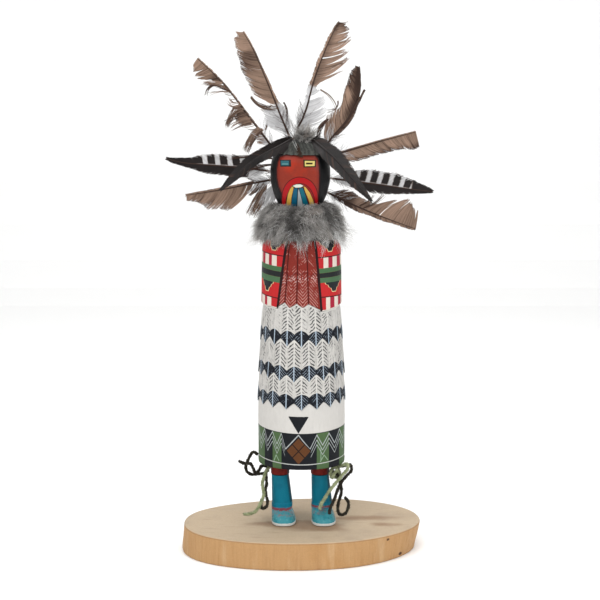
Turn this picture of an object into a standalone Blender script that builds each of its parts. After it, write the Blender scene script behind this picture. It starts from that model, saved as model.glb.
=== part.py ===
"""Kachina doll on an oval slice of wood, with a fan of feathers, fur and yarn.

Units are metres, +Z is up, the doll faces -Y and the plan origin is the centre
of the base's underside. One solid for each separate physical piece.
"""
import math

import bmesh
import bpy
from mathutils import Vector

MM = 0.001

# Base slice
BASE_HALF_WIDTH = 83.5 * MM
BASE_HALF_DEPTH = 55.0 * MM
BASE_THICKNESS = 19.5 * MM
BASE_EDGE_ROUND = 1.2 * MM
BASE_LEAN = 1.6 * MM
BASE_TURN = math.radians(5.0)
BASE_COLUMNS = 44

# Clearance between pieces that touch
GAP = 0.3 * MM

# The doll stands on the base: every height below is counted from its soles, as
# a share of the carved figure's own height
STAND_Z = BASE_THICKNESS + GAP
FIGURE_HEIGHT = 272.6 * MM
U = FIGURE_HEIGHT / 272.6

# Robe
ROBE_DEPTH_RATIO = 0.86
FEATHERS_AROUND = 18
COLUMNS_PER_FEATHER = 4
COLUMNS = FEATHERS_AROUND * COLUMNS_PER_FEATHER
ROBE_HALF_WIDTHS = [
    (38.2, 30.3), (47.2, 30.9), (77.2, 31.0), (95.2, 30.6), (116.2, 29.5),
    (138.2, 28.4), (153.2, 27.5), (158.2, 26.9), (180.2, 26.6), (196.2, 26.2),
    (202.2, 25.6), (206.2, 22.6), (209.2, 17.5),
]
HEM_Z = 43.2 * U
RIM_TOP_Z = 47.0 * U
SKIRT_TOP_Z = 69.2 * U
SHINGLE_STEP = 0.75 * MM
SHINGLE_DROP = 0.35 * MM
# Lower edges of the carved feather rows: height of the tips, rise to the
# valleys between them, and the stagger in columns.
SHINGLE_ROWS = [
    (86.1, 4.6, 0), (105.9, 4.8, 2), (130.4, 5.0, 0), (157.6, 3.2, 0), (179.8, 3.4, 2),
]
SLEEVE_RAISE = 1.15 * MM
SLEEVE_BACK_EDGE = 118.0
CHEST_GROOVE = 0.55 * MM
CHEST_GROOVES = (-20, -5, 10)

# Head, a tall rounded case mask
HEAD_CENTRE_X = -0.8 * U
HEAD_DEPTH_RATIO = 0.86
HEAD_SQUARENESS = 2.9
HEAD_COLUMNS = 32
HEAD_HALF_WIDTHS = [
    (204.2, 11.0), (222.2, 11.0), (223.6, 13.2), (228.2, 15.6), (233.7, 18.3),
    (242.7, 20.6), (251.0, 20.9), (257.2, 20.2), (262.2, 18.3), (266.2, 15.2),
    (269.7, 10.6), (271.8, 5.4), (272.6, 1.6),
]
FACE_INSET = 0.7 * MM
FACE_OUTLINE = [
    (-2.5, 262.4), (6.0, 262.3), (9.6, 261.8), (11.6, 259.8), (12.4, 255.2),
    (12.8, 248.2), (12.6, 240.2), (12.0, 232.2), (11.2, 227.4), (5.0, 225.8),
    (-2.0, 225.4), (-8.0, 225.8), (-12.0, 228.2), (-13.8, 234.7), (-16.2, 240.2),
    (-17.4, 246.2), (-17.5, 252.2), (-16.6, 257.4), (-15.2, 261.0), (-11.0, 262.3),
]
FACE_CENTRE = (-2.3, 244.2)

# Boots: rows of centre x, centre y, half width, half length and height
BOOT_COLUMNS = 16
LEFT_BOOT = [
    (-12.7, -4.6, 8.4, 12.9, 0.0), (-12.7, -4.8, 8.8, 13.4, 0.4),
    (-12.7, -4.8, 8.8, 13.4, 1.8), (-12.8, -4.6, 8.4, 12.8, 2.2),
    (-13.2, -4.0, 8.1, 12.0, 5.2), (-14.0, -2.0, 7.4, 9.4, 8.6),
    (-14.8, -0.4, 6.8, 7.2, 10.4), (-14.9, -0.2, 6.8, 7.0, 12.4),
    (-15.0, 0.0, 6.2, 6.4, 13.0), (-15.3, 0.0, 6.2, 6.4, 37.6),
    (-15.3, 0.0, 6.7, 6.9, 38.0), (-15.3, 0.0, 6.7, 6.9, 42.0),
    (-15.3, 0.0, 6.2, 6.4, 42.4), (-15.3, 0.0, 6.2, 6.4, 45.2),
]
RIGHT_BOOT_SHIFT = 28.6 * U

# Fur ruff: its inner wall follows the shoulders, the neck and the jaw at a
# clearance, and its outer wall is given as thickness at a height
RUFF_COLUMNS = 24
RUFF_CLEARANCE = 1.2 * MM
RUFF_DEPTH_RATIO = 0.89
RUFF_SHOULDER_HEIGHTS = (200.6, 204.2, 207.6)
RUFF_JAW_HEIGHTS = (222.8, 228.2)
RUFF_OUTER = [
    (-8.4, 229.4), (-4.0, 227.2), (0.6, 221.2), (3.6, 213.2), (4.6, 206.2),
    (3.4, 201.2), (2.2, 199.8),
]
RUFF_LOBE = 1.6 * MM
NECK_Z = (204.2, 222.2)
ROBE_TOP_Z = 209.2

# Feathers: depth, backward curve at the tip, shaft points (x, z) from the socket
# outward, then the vane's width on the left and on the right of the shaft at
# even steps, looking from root to tip, all in units of the figure.
SOCKET_CLEARANCE = 0.3 * MM
QUILL_RADIUS = 0.7 * MM
FAN_FEATHERS = {
    "feather_left_1": (
        10.0, 7.0,
        [(-14.0, 260.3), (-22.4, 269.1), (-36.7, 287.5), (-50.0, 305.3),
         (-62.3, 318.6), (-73.3, 328.5)],
        [0, 0, 0, 3, 8, 8, 3, 9, 13, 15, 12, 9.8, 6, 5, 8, 12, 10, 5, 8, 9, 7, 2],
        [0, 0, 0, 1, 1, 1.2, 1.2, 1.2, 1.2, 1.2, 1.2, 1.2, 1.2, 1.2, 1.2, 1.2,
         1.2, 1.2, 1.2, 1, 1, 1],
    ),
    "feather_left_2": (
        7.5, 8.0,
        [(-7.0, 266.4), (-9.0, 275.5), (-15.7, 291.0), (-21.1, 305.2),
         (-27.9, 321.1), (-34.6, 336.7), (-41.0, 346.6)],
        [0, 0, 0, 8, 11, 10, 7, 9, 3, 7, 12, 13, 13, 12, 14, 13.6, 13, 11.6, 10,
         7, 4.4, 1],
        [0, 0, 0, 3.6, 4.4, 4.4, 4, 4.6, 2.4, 2, 1.6, 1.8, 1.6, 1.4, 1.2, 1, 1,
         1, 1, 1, 1, 1],
    ),
    "feather_right_1": (
        10.0, 8.0,
        [(-3.4, 267.0), (-2.7, 280.0), (3.1, 290.3), (7.2, 308.7),
         (10.0, 317.2), (17.0, 335.0), (22.5, 347.6), (26.7, 353.5)],
        [0, 0, 0, 2.1, 3, 4, 3.6, 3.1, 3.1, 3.2, 3.2, 2, 2.4, 2.6, 2.8, 2.4, 1.8,
         2, 2, 1.4, 1.4, 1],
        [0, 0, 0, 4, 10, 11, 9.4, 8.2, 7, 4, 2, 5, 11, 15, 19, 18.4, 17, 14.5,
         13.5, 10.6, 7, 2],
    ),
    "feather_right_2": (
        7.5, 6.0,
        [(11.8, 258.6), (18.3, 269.2), (23.4, 276.5), (30.9, 283.5),
         (36.6, 294.4), (40.0, 303.0), (41.0, 311.6), (39.9, 322.6)],
        [0, 0, 0, 1, 4, 7, 9, 11, 12, 11.8, 10.6, 10.2, 10.8, 11.6, 11.9, 11.6,
         11, 10.4, 9, 7.4, 5, 1],
        [0, 0, 0, 1, 1.2, 1.2, 1.2, 1.2, 1.2, 1.2, 1.2, 1.2, 1.2, 1.2, 1.2, 1.2,
         1.2, 1.2, 1, 1, 1, 1],
    ),
    "feather_right_3": (
        10.0, 5.0,
        [(13.2, 257.6), (22.1, 260.8), (26.5, 262.4), (53.6, 270.2),
         (80.9, 277.2)],
        [0, 0, 0, 2, 3, 3.2, 3.2, 3.4, 3.5, 3.6, 3.8, 3.8, 3.6, 3.5, 3.4, 3.1,
         2.6, 2.4, 2.4, 1.8, 1.4, 1],
        [0, 0, 0, 2, 4, 5, 6.6, 7.6, 8.4, 8.6, 8, 7.5, 7.6, 7.7, 8.4, 9.1, 9.5,
         9.6, 10, 11, 9, 2],
    ),
    "feather_left_3": (
        7.5, 5.0,
        [(-15.4, 249.2), (-22.8, 250.0), (-41.0, 252.5), (-64.1, 254.2),
         (-85.2, 255.6), (-95.6, 258.8)],
        [0, 0, 0, 3, 5, 6, 7, 7.6, 8, 7.6, 7, 6.8, 6.8, 6.6, 6, 5, 4, 3.2, 2.6,
         2.2, 1.8, 1],
        [0, 0, 0, 3, 5.4, 7, 7.8, 8.2, 8.6, 8.6, 8.3, 8.4, 8.3, 8, 7.3, 6.2, 5,
         4, 3.6, 2.8, 1.8, 1],
    ),
    "feather_right_4": (
        7.5, 5.0,
        [(14.0, 246.0), (22.0, 244.8), (35.5, 243.0), (54.4, 240.6),
         (68.5, 238.5), (80.1, 236.7), (93.2, 235.3)],
        [0, 0, 0, 2, 4, 6, 8, 9, 9.6, 10.2, 10.2, 10, 9.8, 9.9, 10, 9, 7.8, 7,
         5.4, 4.4, 3, 1],
        [0, 0, 0, 2, 3, 4, 5, 5.6, 6, 6.6, 7, 6.8, 6.4, 6, 5.4, 4.8, 4.2, 3.6,
         3, 2.4, 1.8, 1],
    ),
    "feather_left_4": (
        10.0, 6.0,
        [(-14.8, 244.7), (-22.5, 243.6), (-37.0, 240.8), (-50.5, 237.8),
         (-66.6, 234.8), (-82.2, 232.5)],
        [0, 0, 0, 4, 9, 9, 12.5, 9, 7, 9, 13, 15.4, 15.6, 15.4, 14.8, 13.6, 12,
         9, 7.4, 6, 4, 1],
        [0, 0, 0, 1, 1.4, 1.6, 1.8, 1.8, 1.8, 1.8, 1.8, 1.8, 1.8, 1.8, 1.8, 1.8,
         1.8, 1.6, 1.6, 1.4, 1.2, 1],
    ),
    "feather_right_5": (
        10.0, 6.0,
        [(12.4, 238.1), (18.4, 234.8), (30.7, 229.0), (43.0, 223.2),
         (62.6, 215.4), (81.7, 208.5)],
        [0, 0, 0, 3, 6, 8, 8.6, 8, 7.6, 7.4, 7.2, 7.2, 6.4, 8, 12, 14, 15, 16,
         17, 17.2, 14, 3],
        [0, 0, 0, 1.4, 2.4, 2.6, 3, 3.4, 3.6, 3.8, 3.2, 2.8, 2.8, 3, 3.1, 2.6,
         2.2, 2.1, 2.1, 2.1, 2, 1],
    ),
}
DRAPED_FEATHERS = {
    "black_feather_left": (
        3.4, -1.0,
        [(-3.4, 266.6), (-8.0, 272.8), (-15.0, 270.4), (-25.0, 264.4),
         (-38.0, 255.4), (-46.4, 247.8), (-56.4, 237.2)],
        [0, 0, 0, 0.8, 1.2, 1.8, 2.8, 4.4, 5.2, 4.8, 4.5, 4.5, 4.4, 4.4, 4.2, 4,
         3.7, 3.3, 2.8, 2.2, 1.5, 1],
        [0, 0, 0, 1.6, 3.4, 4.2, 4.6, 4.6, 4.6, 4.5, 4.5, 4.4, 4.4, 4.3, 4.1, 4,
         3.6, 3.2, 2.7, 2.1, 1.4, 1],
    ),
    "black_feather_right": (
        3.4, -1.0,
        [(2.8, 266.6), (8.0, 272.8), (15.5, 270.0), (22.6, 263.6),
         (29.5, 254.4), (36.5, 244.0), (48.4, 229.6)],
        [0, 0, 0, 1.6, 2.6, 3.2, 3.6, 4, 4.4, 4.8, 5.2, 5.4, 5.2, 5, 4.8, 4.5,
         4, 3.4, 2.8, 2.2, 1.5, 1],
        [0, 0, 0, 0.8, 1.2, 1.8, 2.2, 2.4, 3, 4.2, 5.4, 6.2, 6.4, 6.2, 5.6, 5,
         4.2, 3.4, 2.8, 2.2, 1.5, 1],
    ),
}
RIDGE_FRONT = 0.75 * MM
RIDGE_BACK = 0.55 * MM

# Yarn strands: points from the tied end to the free end
YARN_DIAMETER = 2.0 * MM
YARN_STRANDS = {
    "yarn_left_1": [
        (-22.9, -1.5, 39.4), (-25.2, -3.9, 36.5), (-26.9, -5.2, 32.6), (-28.0, -6.2, 28.4),
        (-27.4, -7.2, 24.1), (-27.0, -8.5, 20.0), (-28.6, -10.1, 16.2),
        (-30.5, -11.7, 12.4), (-33.2, -12.9, 9.3), (-37.3, -12.7, 7.7), (-41.4, -11.0, 7.0),
    ],
    "yarn_left_2": [
        (-23.8, 2.5, 38.4), (-25.4, 1.6, 34.5), (-25.3, 0.2, 30.5), (-25.0, -1.8, 26.8),
        (-25.7, -4.1, 23.3), (-25.4, -6.0, 19.6), (-24.3, -8.1, 16.0), (-24.9, -10.4, 12.6),
        (-28.0, -10.4, 11.0), (-29.0, -6.8, 13.0), (-28.3, -4.0, 16.1),
    ],
    "yarn_left_3": [
        (-24.5, 6.0, 37.4), (-28.7, 5.1, 38.1), (-30.5, 2.1, 35.6), (-33.2, -0.6, 34.3),
        (-34.6, -1.9, 38.2), (-36.6, -2.5, 41.7), (-41.0, -2.2, 41.9), (-45.1, -2.0, 43.6),
    ],
    "yarn_left_4": [
        (-23.7, 6.8, 34.5), (-27.4, 7.0, 32.2), (-31.7, 7.0, 31.7), (-36.0, 6.8, 31.4),
        (-39.4, 5.8, 33.8), (-40.3, 4.8, 37.9), (-38.9, 4.0, 41.9), (-37.2, 3.1, 45.8),
        (-34.6, 2.2, 49.2), (-31.2, 0.6, 47.7),
    ],
    "yarn_right_1": [
        (21.2, 2.0, 40.2), (23.7, -1.6, 40.5), (26.4, -5.1, 41.0), (29.4, -8.0, 42.3),
        (32.6, -10.4, 43.5), (32.4, -10.7, 39.5), (29.6, -10.1, 36.2), (26.8, -11.1, 32.9),
        (23.9, -11.9, 29.7), (21.2, -12.4, 26.3), (18.7, -12.7, 22.6), (16.3, -13.4, 19.0),
        (14.1, -15.3, 15.8), (12.8, -18.5, 13.0),
    ],
    "yarn_right_2": [
        (21.3, 5.5, 37.6), (24.8, 2.6, 38.4), (28.1, -0.3, 39.3), (31.5, -3.0, 40.7),
        (35.0, -5.5, 41.7), (35.5, -7.9, 38.1), (32.5, -9.5, 35.2), (29.6, -9.5, 31.6),
        (27.1, -9.8, 27.8), (25.3, -10.5, 23.7), (23.9, -11.6, 19.5), (22.2, -13.9, 16.1),
        (20.4, -17.0, 13.3), (19.6, -19.8, 9.8),
    ],
    "yarn_right_3": [
        (22.0, 4.5, 34.5), (25.1, 1.4, 33.6), (27.2, -1.5, 31.0), (28.1, -3.5, 27.1),
        (28.6, -4.9, 22.9), (27.8, -6.2, 18.7), (26.4, -7.5, 14.6), (25.9, -9.3, 10.6),
        (27.2, -11.2, 6.9), (31.1, -11.5, 7.6), (33.2, -9.6, 11.0), (33.5, -7.6, 14.9),
        (30.9, -6.0, 18.2),
    ],
    "yarn_right_4": [
        (21.4, 7.0, 31.6), (24.7, 6.8, 29.1), (27.4, 4.3, 31.1), (27.3, 1.0, 33.9),
        (26.6, -2.2, 36.7), (25.3, -5.5, 39.3), (22.5, -8.5, 40.3), (20.5, -10.6, 37.4),
        (21.8, -11.0, 33.6), (23.0, -13.0, 37.2), (25.6, -14.0, 40.5),
    ],
}

PALE_STRANDS = ("yarn_left_1", "yarn_right_1", "yarn_right_4")

# Fur crown and forehead feathers
CROWN_CENTRE = (1.4 * U, -3.8 * U)
CROWN_RADII = (6.0 * U, 4.8 * U)
CROWN_TOP_Z = 280.8 * U
CROWN_COLUMNS = 18
FOREHEAD_CENTRE_X = -1.7
FOREHEAD_ROWS = [
    (259.8, 1.2), (261.6, 4.6), (263.8, 8.6), (266.0, 8.2), (268.0, 6.2),
]
FOREHEAD_THICKNESS = 1.3 * MM


def table(points, value):
    """The value of a table of pairs at a point, straight between its rows."""
    if value <= points[0][0]:
        return points[0][1]
    for (x0, y0), (x1, y1) in zip(points, points[1:]):
        if value <= x1:
            return y0 + (y1 - y0) * (value - x0) / (x1 - x0)
    return points[-1][1]


def material(name, colour, roughness):
    mat = bpy.data.materials.new(name)
    mat.use_nodes = True
    shader = mat.node_tree.nodes["Principled BSDF"]
    shader.inputs["Base Color"].default_value = (*colour, 1.0)
    shader.inputs["Roughness"].default_value = roughness
    mat.diffuse_color = (*colour, 1.0)
    return mat


def mesh_object(name, points, faces, collection, mat=None, height=STAND_Z):
    mesh = bpy.data.meshes.new(name)
    mesh.from_pydata(points, [], faces)
    bm = bmesh.new()
    bm.from_mesh(mesh)
    bmesh.ops.recalc_face_normals(bm, faces=bm.faces)
    bm.to_mesh(mesh)
    bm.free()
    obj = bpy.data.objects.new(name, mesh)
    obj.location = (0.0, 0.0, height)
    collection.objects.link(obj)
    if mat is not None:
        mesh.materials.append(mat)
    return obj


def loft(rings):
    """Points and faces of a closed loft through rings of equal length."""
    points = [p for ring in rings for p in ring]
    n = len(rings[0])
    faces = [tuple(range(n))]
    for r in range(len(rings) - 1):
        for i in range(n):
            j = (i + 1) % n
            faces.append((r * n + i, r * n + j, (r + 1) * n + j, (r + 1) * n + i))
    faces.append(tuple(range((len(rings) - 1) * n, len(rings) * n)))
    return points, faces


def super_ring(cx, cy, half_x, half_y, z, count, power):
    """One horizontal ring: a superellipse, the first point facing -Y."""
    ring = []
    for i in range(count):
        t = 2 * math.pi * i / count
        s, c = math.sin(t), math.cos(t)
        x = math.copysign(abs(s) ** (2 / power), s) * half_x
        y = -math.copysign(abs(c) ** (2 / power), c) * half_y
        ring.append((cx + x, cy + y, z))
    return ring


def join_cutter(obj, cutter, operation):
    cutter.hide_render = True
    cutter.display_type = "WIRE"
    mod = obj.modifiers.new(cutter.name, "BOOLEAN")
    mod.operation = operation
    mod.solver = "EXACT"
    mod.object = cutter





def base_ring(scale_in, z, shift):
    ring = []
    for i in range(BASE_COLUMNS):
        t = 2 * math.pi * i / BASE_COLUMNS
        wave = 1 + 0.008 * math.sin(3 * t + 0.6) + 0.006 * math.sin(5 * t + 2.0)
        x = (BASE_HALF_WIDTH * wave - scale_in) * math.cos(t)
        y = (BASE_HALF_DEPTH * wave - scale_in) * math.sin(t)
        c, s = math.cos(BASE_TURN), math.sin(BASE_TURN)
        ring.append((x * c - y * s + shift, x * s + y * c, z))
    return ring


def make_base(parts, mat):
    e = BASE_EDGE_ROUND
    top = BASE_THICKNESS
    rings = [
        base_ring(e, 0.0, 0.0),
        base_ring(0.3 * e, 0.3 * e, 0.0),
        base_ring(0.0, e, 0.0),
        base_ring(0.0, top - e, BASE_LEAN),
        base_ring(0.3 * e, top - 0.3 * e, BASE_LEAN),
        base_ring(e, top, BASE_LEAN),
    ]
    return mesh_object("base", *loft(rings), parts, mat, 0.0)





def feather_wave(column, stagger):
    """0 at a feather's tip and 1 in the valley between two tips."""
    k = (column + stagger) % COLUMNS_PER_FEATHER
    return (0.0, 0.62, 1.0, 0.62)[k]


def jitter(column, row, stagger):
    feather = round((column + stagger) / COLUMNS_PER_FEATHER) % FEATHERS_AROUND
    return math.sin(12.9898 * feather + 78.233 * row)


def sleeve_edges(z):
    """Angles of the sleeves' front edges, left and right, at a height."""
    low, high = 157.2, 200.2
    t = min(1.0, max(0.0, (z - low) / (high - low)))
    return -36.5 + 10.5 * t, 29.5 - 8.0 * t


def warp(angle, z):
    """Moves a column's angle so that the sleeves' edges follow their lines."""
    left, right = sleeve_edges(z)
    knots = [
        (-180, -180), (-125, -SLEEVE_BACK_EDGE - 1.5), (-120, -SLEEVE_BACK_EDGE),
        (-60, -60), (-35, left - 0.6), (-30, left + 0.6), (0, 0.5 * (left + right) + 3.4),
        (30, right - 0.6), (35, right + 0.6), (60, 60), (120, SLEEVE_BACK_EDGE),
        (125, SLEEVE_BACK_EDGE + 1.5), (180, 180),
    ]
    return table(knots, angle)


def robe_point(column, z, extra, dressed):
    """A point of the robe's surface; dressed rows carry sleeves and chest."""
    angle = column * 360 / COLUMNS
    if angle > 180:
        angle -= 360
    if dressed:
        signed = round(angle)
        if 35 <= abs(signed) <= 120:
            extra += SLEEVE_RAISE
        elif any(abs(angle - g) < 180 / COLUMNS for g in CHEST_GROOVES):
            extra -= CHEST_GROOVE
        angle = warp(angle, z / U)
    radius = table(ROBE_HALF_WIDTHS, z / U) * U + extra
    t = math.radians(angle)
    depth = radius * ROBE_DEPTH_RATIO
    return radius * math.sin(t), -depth * math.cos(t), z


def robe_row(z, extra, dressed):
    return [robe_point(c, z, extra, dressed) for c in range(COLUMNS)]


def shingle_rows(index):
    """The row just under a feather edge and the edge itself."""
    tip, rise, stagger = SHINGLE_ROWS[index]
    under, edge = [], []
    dressed_edge = tip > 150
    for c in range(COLUMNS):
        lift = rise * feather_wave(c, stagger)
        z = (tip + lift + 0.5 * jitter(c, index, stagger)) * U
        under.append(robe_point(c, z - SHINGLE_DROP, 0.0, tip > 170))
        edge.append(robe_point(c, z, SHINGLE_STEP, dressed_edge))
    return under, edge


def make_robe(cutters):
    rows = [
        robe_row(HEM_Z, -0.8 * MM, False),
        robe_row(HEM_Z + 0.6 * MM, 0.1 * MM, False),
        robe_row(RIM_TOP_Z, 0.1 * MM, False),
        robe_row(RIM_TOP_Z + 0.2 * MM, -0.15 * MM, False),
        robe_row(SKIRT_TOP_Z, -0.15 * MM, False),
    ]
    for index in range(len(SHINGLE_ROWS)):
        rows.extend(shingle_rows(index))
        if index == 3:
            rows.append(robe_row(168.2 * U, 0.35 * MM, True))
    rows.append(robe_row(198.2 * U, 0.1 * MM, True))
    rows.append(robe_row(202.2 * U, 0.0, False))
    rows.append(robe_row(206.2 * U, 0.0, False))
    rows.append(robe_row(ROBE_TOP_Z * U, 0.0, False))
    return mesh_object("figure", *loft(rows), cutters)


def head_half(z):
    return table(HEAD_HALF_WIDTHS, z / U) * U


def head_front_y(x, z):
    """The front of the head at a point of the front view."""
    half = head_half(z)
    share = min(0.98, abs((x - HEAD_CENTRE_X) / half))
    rest = (1 - share ** HEAD_SQUARENESS) ** (1 / HEAD_SQUARENESS)
    return -half * HEAD_DEPTH_RATIO * rest


def head_top_z(x, y):
    """The height of the head's top over a point of the plan."""
    z = HEAD_HALF_WIDTHS[-1][0] * U
    while z > 250.0 * U:
        half = head_half(z)
        u = abs((x - HEAD_CENTRE_X) / half) ** HEAD_SQUARENESS
        v = abs(y / (half * HEAD_DEPTH_RATIO)) ** HEAD_SQUARENESS
        if u + v <= 1:
            return z
        z -= 0.2 * U
    return z


def make_head(cutters):
    rings = []
    for z, half in HEAD_HALF_WIDTHS:
        power = 2.0 if z <= NECK_Z[1] else HEAD_SQUARENESS
        rings.append(super_ring(
            HEAD_CENTRE_X, 0.0, half * U, half * HEAD_DEPTH_RATIO * U,
            z * U, HEAD_COLUMNS, power,
        ))
    return mesh_object("head", *loft(rings), cutters)


def make_face_cutter(cutters):
    """Sinks the face shield a little inside the rim of hair around it."""
    cx, cz = FACE_CENTRE
    rings = []
    for share in (1.0, 0.7, 0.35):
        ring = []
        for x, z in FACE_OUTLINE:
            px = (cx + (x - cx) * share) * U
            pz = (cz + (z - cz) * share) * U
            ring.append((px, head_front_y(px, pz) + FACE_INSET, pz))
        rings.append(ring)
    front = [(x * U, -30 * U, z * U) for x, z in FACE_OUTLINE]
    return mesh_object("face_cutter", *loft([front] + rings), cutters)


def make_boot(name, shift, cutters):
    rings = []
    for cx, cy, half_x, half_y, z in LEFT_BOOT:
        power = 2.6 if z < 9 else 2.1
        rings.append(super_ring(
            cx * U + shift, cy * U, half_x * U, half_y * U, z * U,
            BOOT_COLUMNS, power,
        ))
    return mesh_object(name, *loft(rings), cutters)


def make_socket(name, entry, cutters):
    """A drilled hole along the first part of a feather's shaft."""
    depth, _, shaft = entry[0], entry[1], entry[2]
    start = Vector((shaft[0][0] * U, depth * U, shaft[0][1] * U))
    other = Vector((shaft[1][0] * U, depth * U, shaft[1][1] * U))
    along = (other - start).normalized()
    low = start - along * SOCKET_CLEARANCE
    side = Vector((0, 1, 0))
    cross = along.cross(side).normalized()
    radius = (QUILL_RADIUS + SOCKET_CLEARANCE) * 1.08
    rings = []
    for distance in (0.0, (other - low).length):
        centre = low + along * distance
        ring = []
        for i in range(8):
            t = 2 * math.pi * (i + 0.5) / 8
            ring.append(centre + side * radius * math.cos(t) + cross * radius * math.sin(t))
        rings.append([tuple(p) for p in ring])
    return mesh_object(name + "_socket", *loft(rings), cutters)


def make_figure(parts, cutters, mat):
    robe = make_robe(cutters)
    cutters.objects.unlink(robe)
    parts.objects.link(robe)
    robe.data.materials.append(mat)
    join_cutter(robe, make_boot("boot_left", 0.0, cutters), "UNION")
    join_cutter(robe, make_boot("boot_right", RIGHT_BOOT_SHIFT, cutters), "UNION")
    join_cutter(robe, make_head(cutters), "UNION")
    join_cutter(robe, make_face_cutter(cutters), "DIFFERENCE")
    for group in (FAN_FEATHERS, DRAPED_FEATHERS):
        for name, entry in group.items():
            join_cutter(robe, make_socket(name, entry, cutters), "DIFFERENCE")
    return robe





def ruff_section():
    """The ruff's cross section: (half width, height, whether it is outside)."""
    section = []
    for z in RUFF_SHOULDER_HEIGHTS:
        half = table(ROBE_HALF_WIDTHS, z) * U + SLEEVE_RAISE + RUFF_CLEARANCE
        section.append((half, z * U, False))
    top = ROBE_TOP_Z * U + RUFF_CLEARANCE
    neck = head_half(NECK_Z[0] * U) + RUFF_CLEARANCE
    section.append((head_half(NECK_Z[0] * U) + 6.0 * U, top, False))
    section.append((neck, top + 0.4 * MM, False))
    section.append((neck, NECK_Z[1] * U - RUFF_CLEARANCE, False))
    for z in RUFF_JAW_HEIGHTS:
        section.append((head_half(z * U) + 2 * RUFF_CLEARANCE, z * U, False))
    widest = section[0][0]
    for thickness, z in RUFF_OUTER:
        section.append((widest + thickness * U, z * U, True))
    return section


def make_ruff(parts, mat):
    rings = []
    for k, (half, z, outside) in enumerate(ruff_section()):
        ring = []
        for i in range(RUFF_COLUMNS):
            t = 2 * math.pi * i / RUFF_COLUMNS
            r = half
            lift = 0.0
            if outside and z < 229 * U:
                r += RUFF_LOBE * math.sin(6 * t + 0.7 + 0.4 * k) * 0.6
                r += RUFF_LOBE * math.sin(11 * t + 1.3 * k) * 0.4
                lift = 0.9 * U * math.sin(9 * t + k)
            x = r * math.sin(t) + 0.5 * HEAD_CENTRE_X
            ring.append((x, -r * RUFF_DEPTH_RATIO * math.cos(t), z + lift))
        rings.append(ring)
    points = [p for ring in rings for p in ring]
    n = RUFF_COLUMNS
    count = len(rings)
    faces = []
    for r in range(count):
        for i in range(n):
            j = (i + 1) % n
            q = (r + 1) % count
            faces.append((r * n + i, r * n + j, q * n + j, q * n + i))
    return mesh_object("fur_ruff", points, faces, parts, mat)


def make_crown(parts, mat):
    rings = []
    cx, cy = CROWN_CENTRE
    for share, height in ((1.0, 0.0), (1.08, 0.3), (0.98, 0.62), (0.66, 0.88), (0.26, 1.0)):
        ring = []
        for i in range(CROWN_COLUMNS):
            t = 2 * math.pi * i / CROWN_COLUMNS
            lump = 1 + 0.09 * math.sin(5 * t + 6 * height)
            x = cx + CROWN_RADII[0] * share * lump * math.sin(t)
            y = cy - CROWN_RADII[1] * share * lump * math.cos(t)
            floor = head_top_z(x, y) + 2 * GAP
            ring.append((x, y, floor + (CROWN_TOP_Z - floor) * height))
        rings.append(ring)
    low = []
    for i in range(CROWN_COLUMNS):
        t = 2 * math.pi * i / CROWN_COLUMNS
        x = cx + 0.4 * CROWN_RADII[0] * math.sin(t)
        y = cy - 0.4 * CROWN_RADII[1] * math.cos(t)
        low.append((x, y, head_top_z(x, y) + 2 * GAP))
    return mesh_object("fur_crown", *loft([low] + rings), parts, mat)


def make_forehead(parts, mat):
    across = 7
    back, front = [], []
    for z, half in FOREHEAD_ROWS:
        for i in range(across):
            share = 2 * i / (across - 1) - 1
            x = (FOREHEAD_CENTRE_X + half * share) * U
            y = head_front_y(x, z * U) - 2.4 * GAP
            thick = FOREHEAD_THICKNESS * (1 - 0.7 * share * share)
            back.append((x, y, z * U))
            front.append((x, y - thick, z * U))
    rows = len(FOREHEAD_ROWS)
    faces = []
    n = across * rows
    for r in range(rows - 1):
        for i in range(across - 1):
            a = r * across + i
            quad = (a, a + 1, a + across + 1, a + across)
            faces.append(quad)
            faces.append(tuple(n + q for q in reversed(quad)))
    rim = [i for i in range(across)]
    rim += [r * across + across - 1 for r in range(1, rows)]
    rim += [(rows - 1) * across + i for i in range(across - 2, -1, -1)]
    rim += [r * across for r in range(rows - 2, 0, -1)]
    for a, b in zip(rim, rim[1:] + rim[:1]):
        faces.append((b, a, n + a, n + b))
    return mesh_object("forehead_feathers", back + front, faces, parts, mat)





def shaft_stations(shaft, count):
    """Even steps along a shaft that is smoothed with a running mean."""
    points = [Vector((x * U, z * U)) for x, z in shaft]
    lengths = [0.0]
    for a, b in zip(points, points[1:]):
        lengths.append(lengths[-1] + (b - a).length)
    fine = []
    steps = 6 * count
    for i in range(steps + 1):
        at = lengths[-1] * i / steps
        k = 0
        while k < len(points) - 2 and lengths[k + 1] < at:
            k += 1
        share = (at - lengths[k]) / (lengths[k + 1] - lengths[k])
        fine.append(points[k].lerp(points[k + 1], share))
    reach = 2 * count // 3
    straight = int(steps * lengths[1] / lengths[-1])
    smooth = []
    for i in range(steps + 1):
        r = max(0, min(reach, i - straight, steps - i))
        near = fine[i - r:i + r + 1]
        total = Vector((0, 0))
        for p in near:
            total += p
        smooth.append(total / len(near))
    stations = []
    for i in range(count):
        at = i * steps // (count - 1)
        turn = 2 if at <= straight else 9
        a = smooth[max(0, at - turn)]
        b = smooth[min(steps, at + turn)]
        stations.append((smooth[at], (b - a).normalized()))
    return stations


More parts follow.
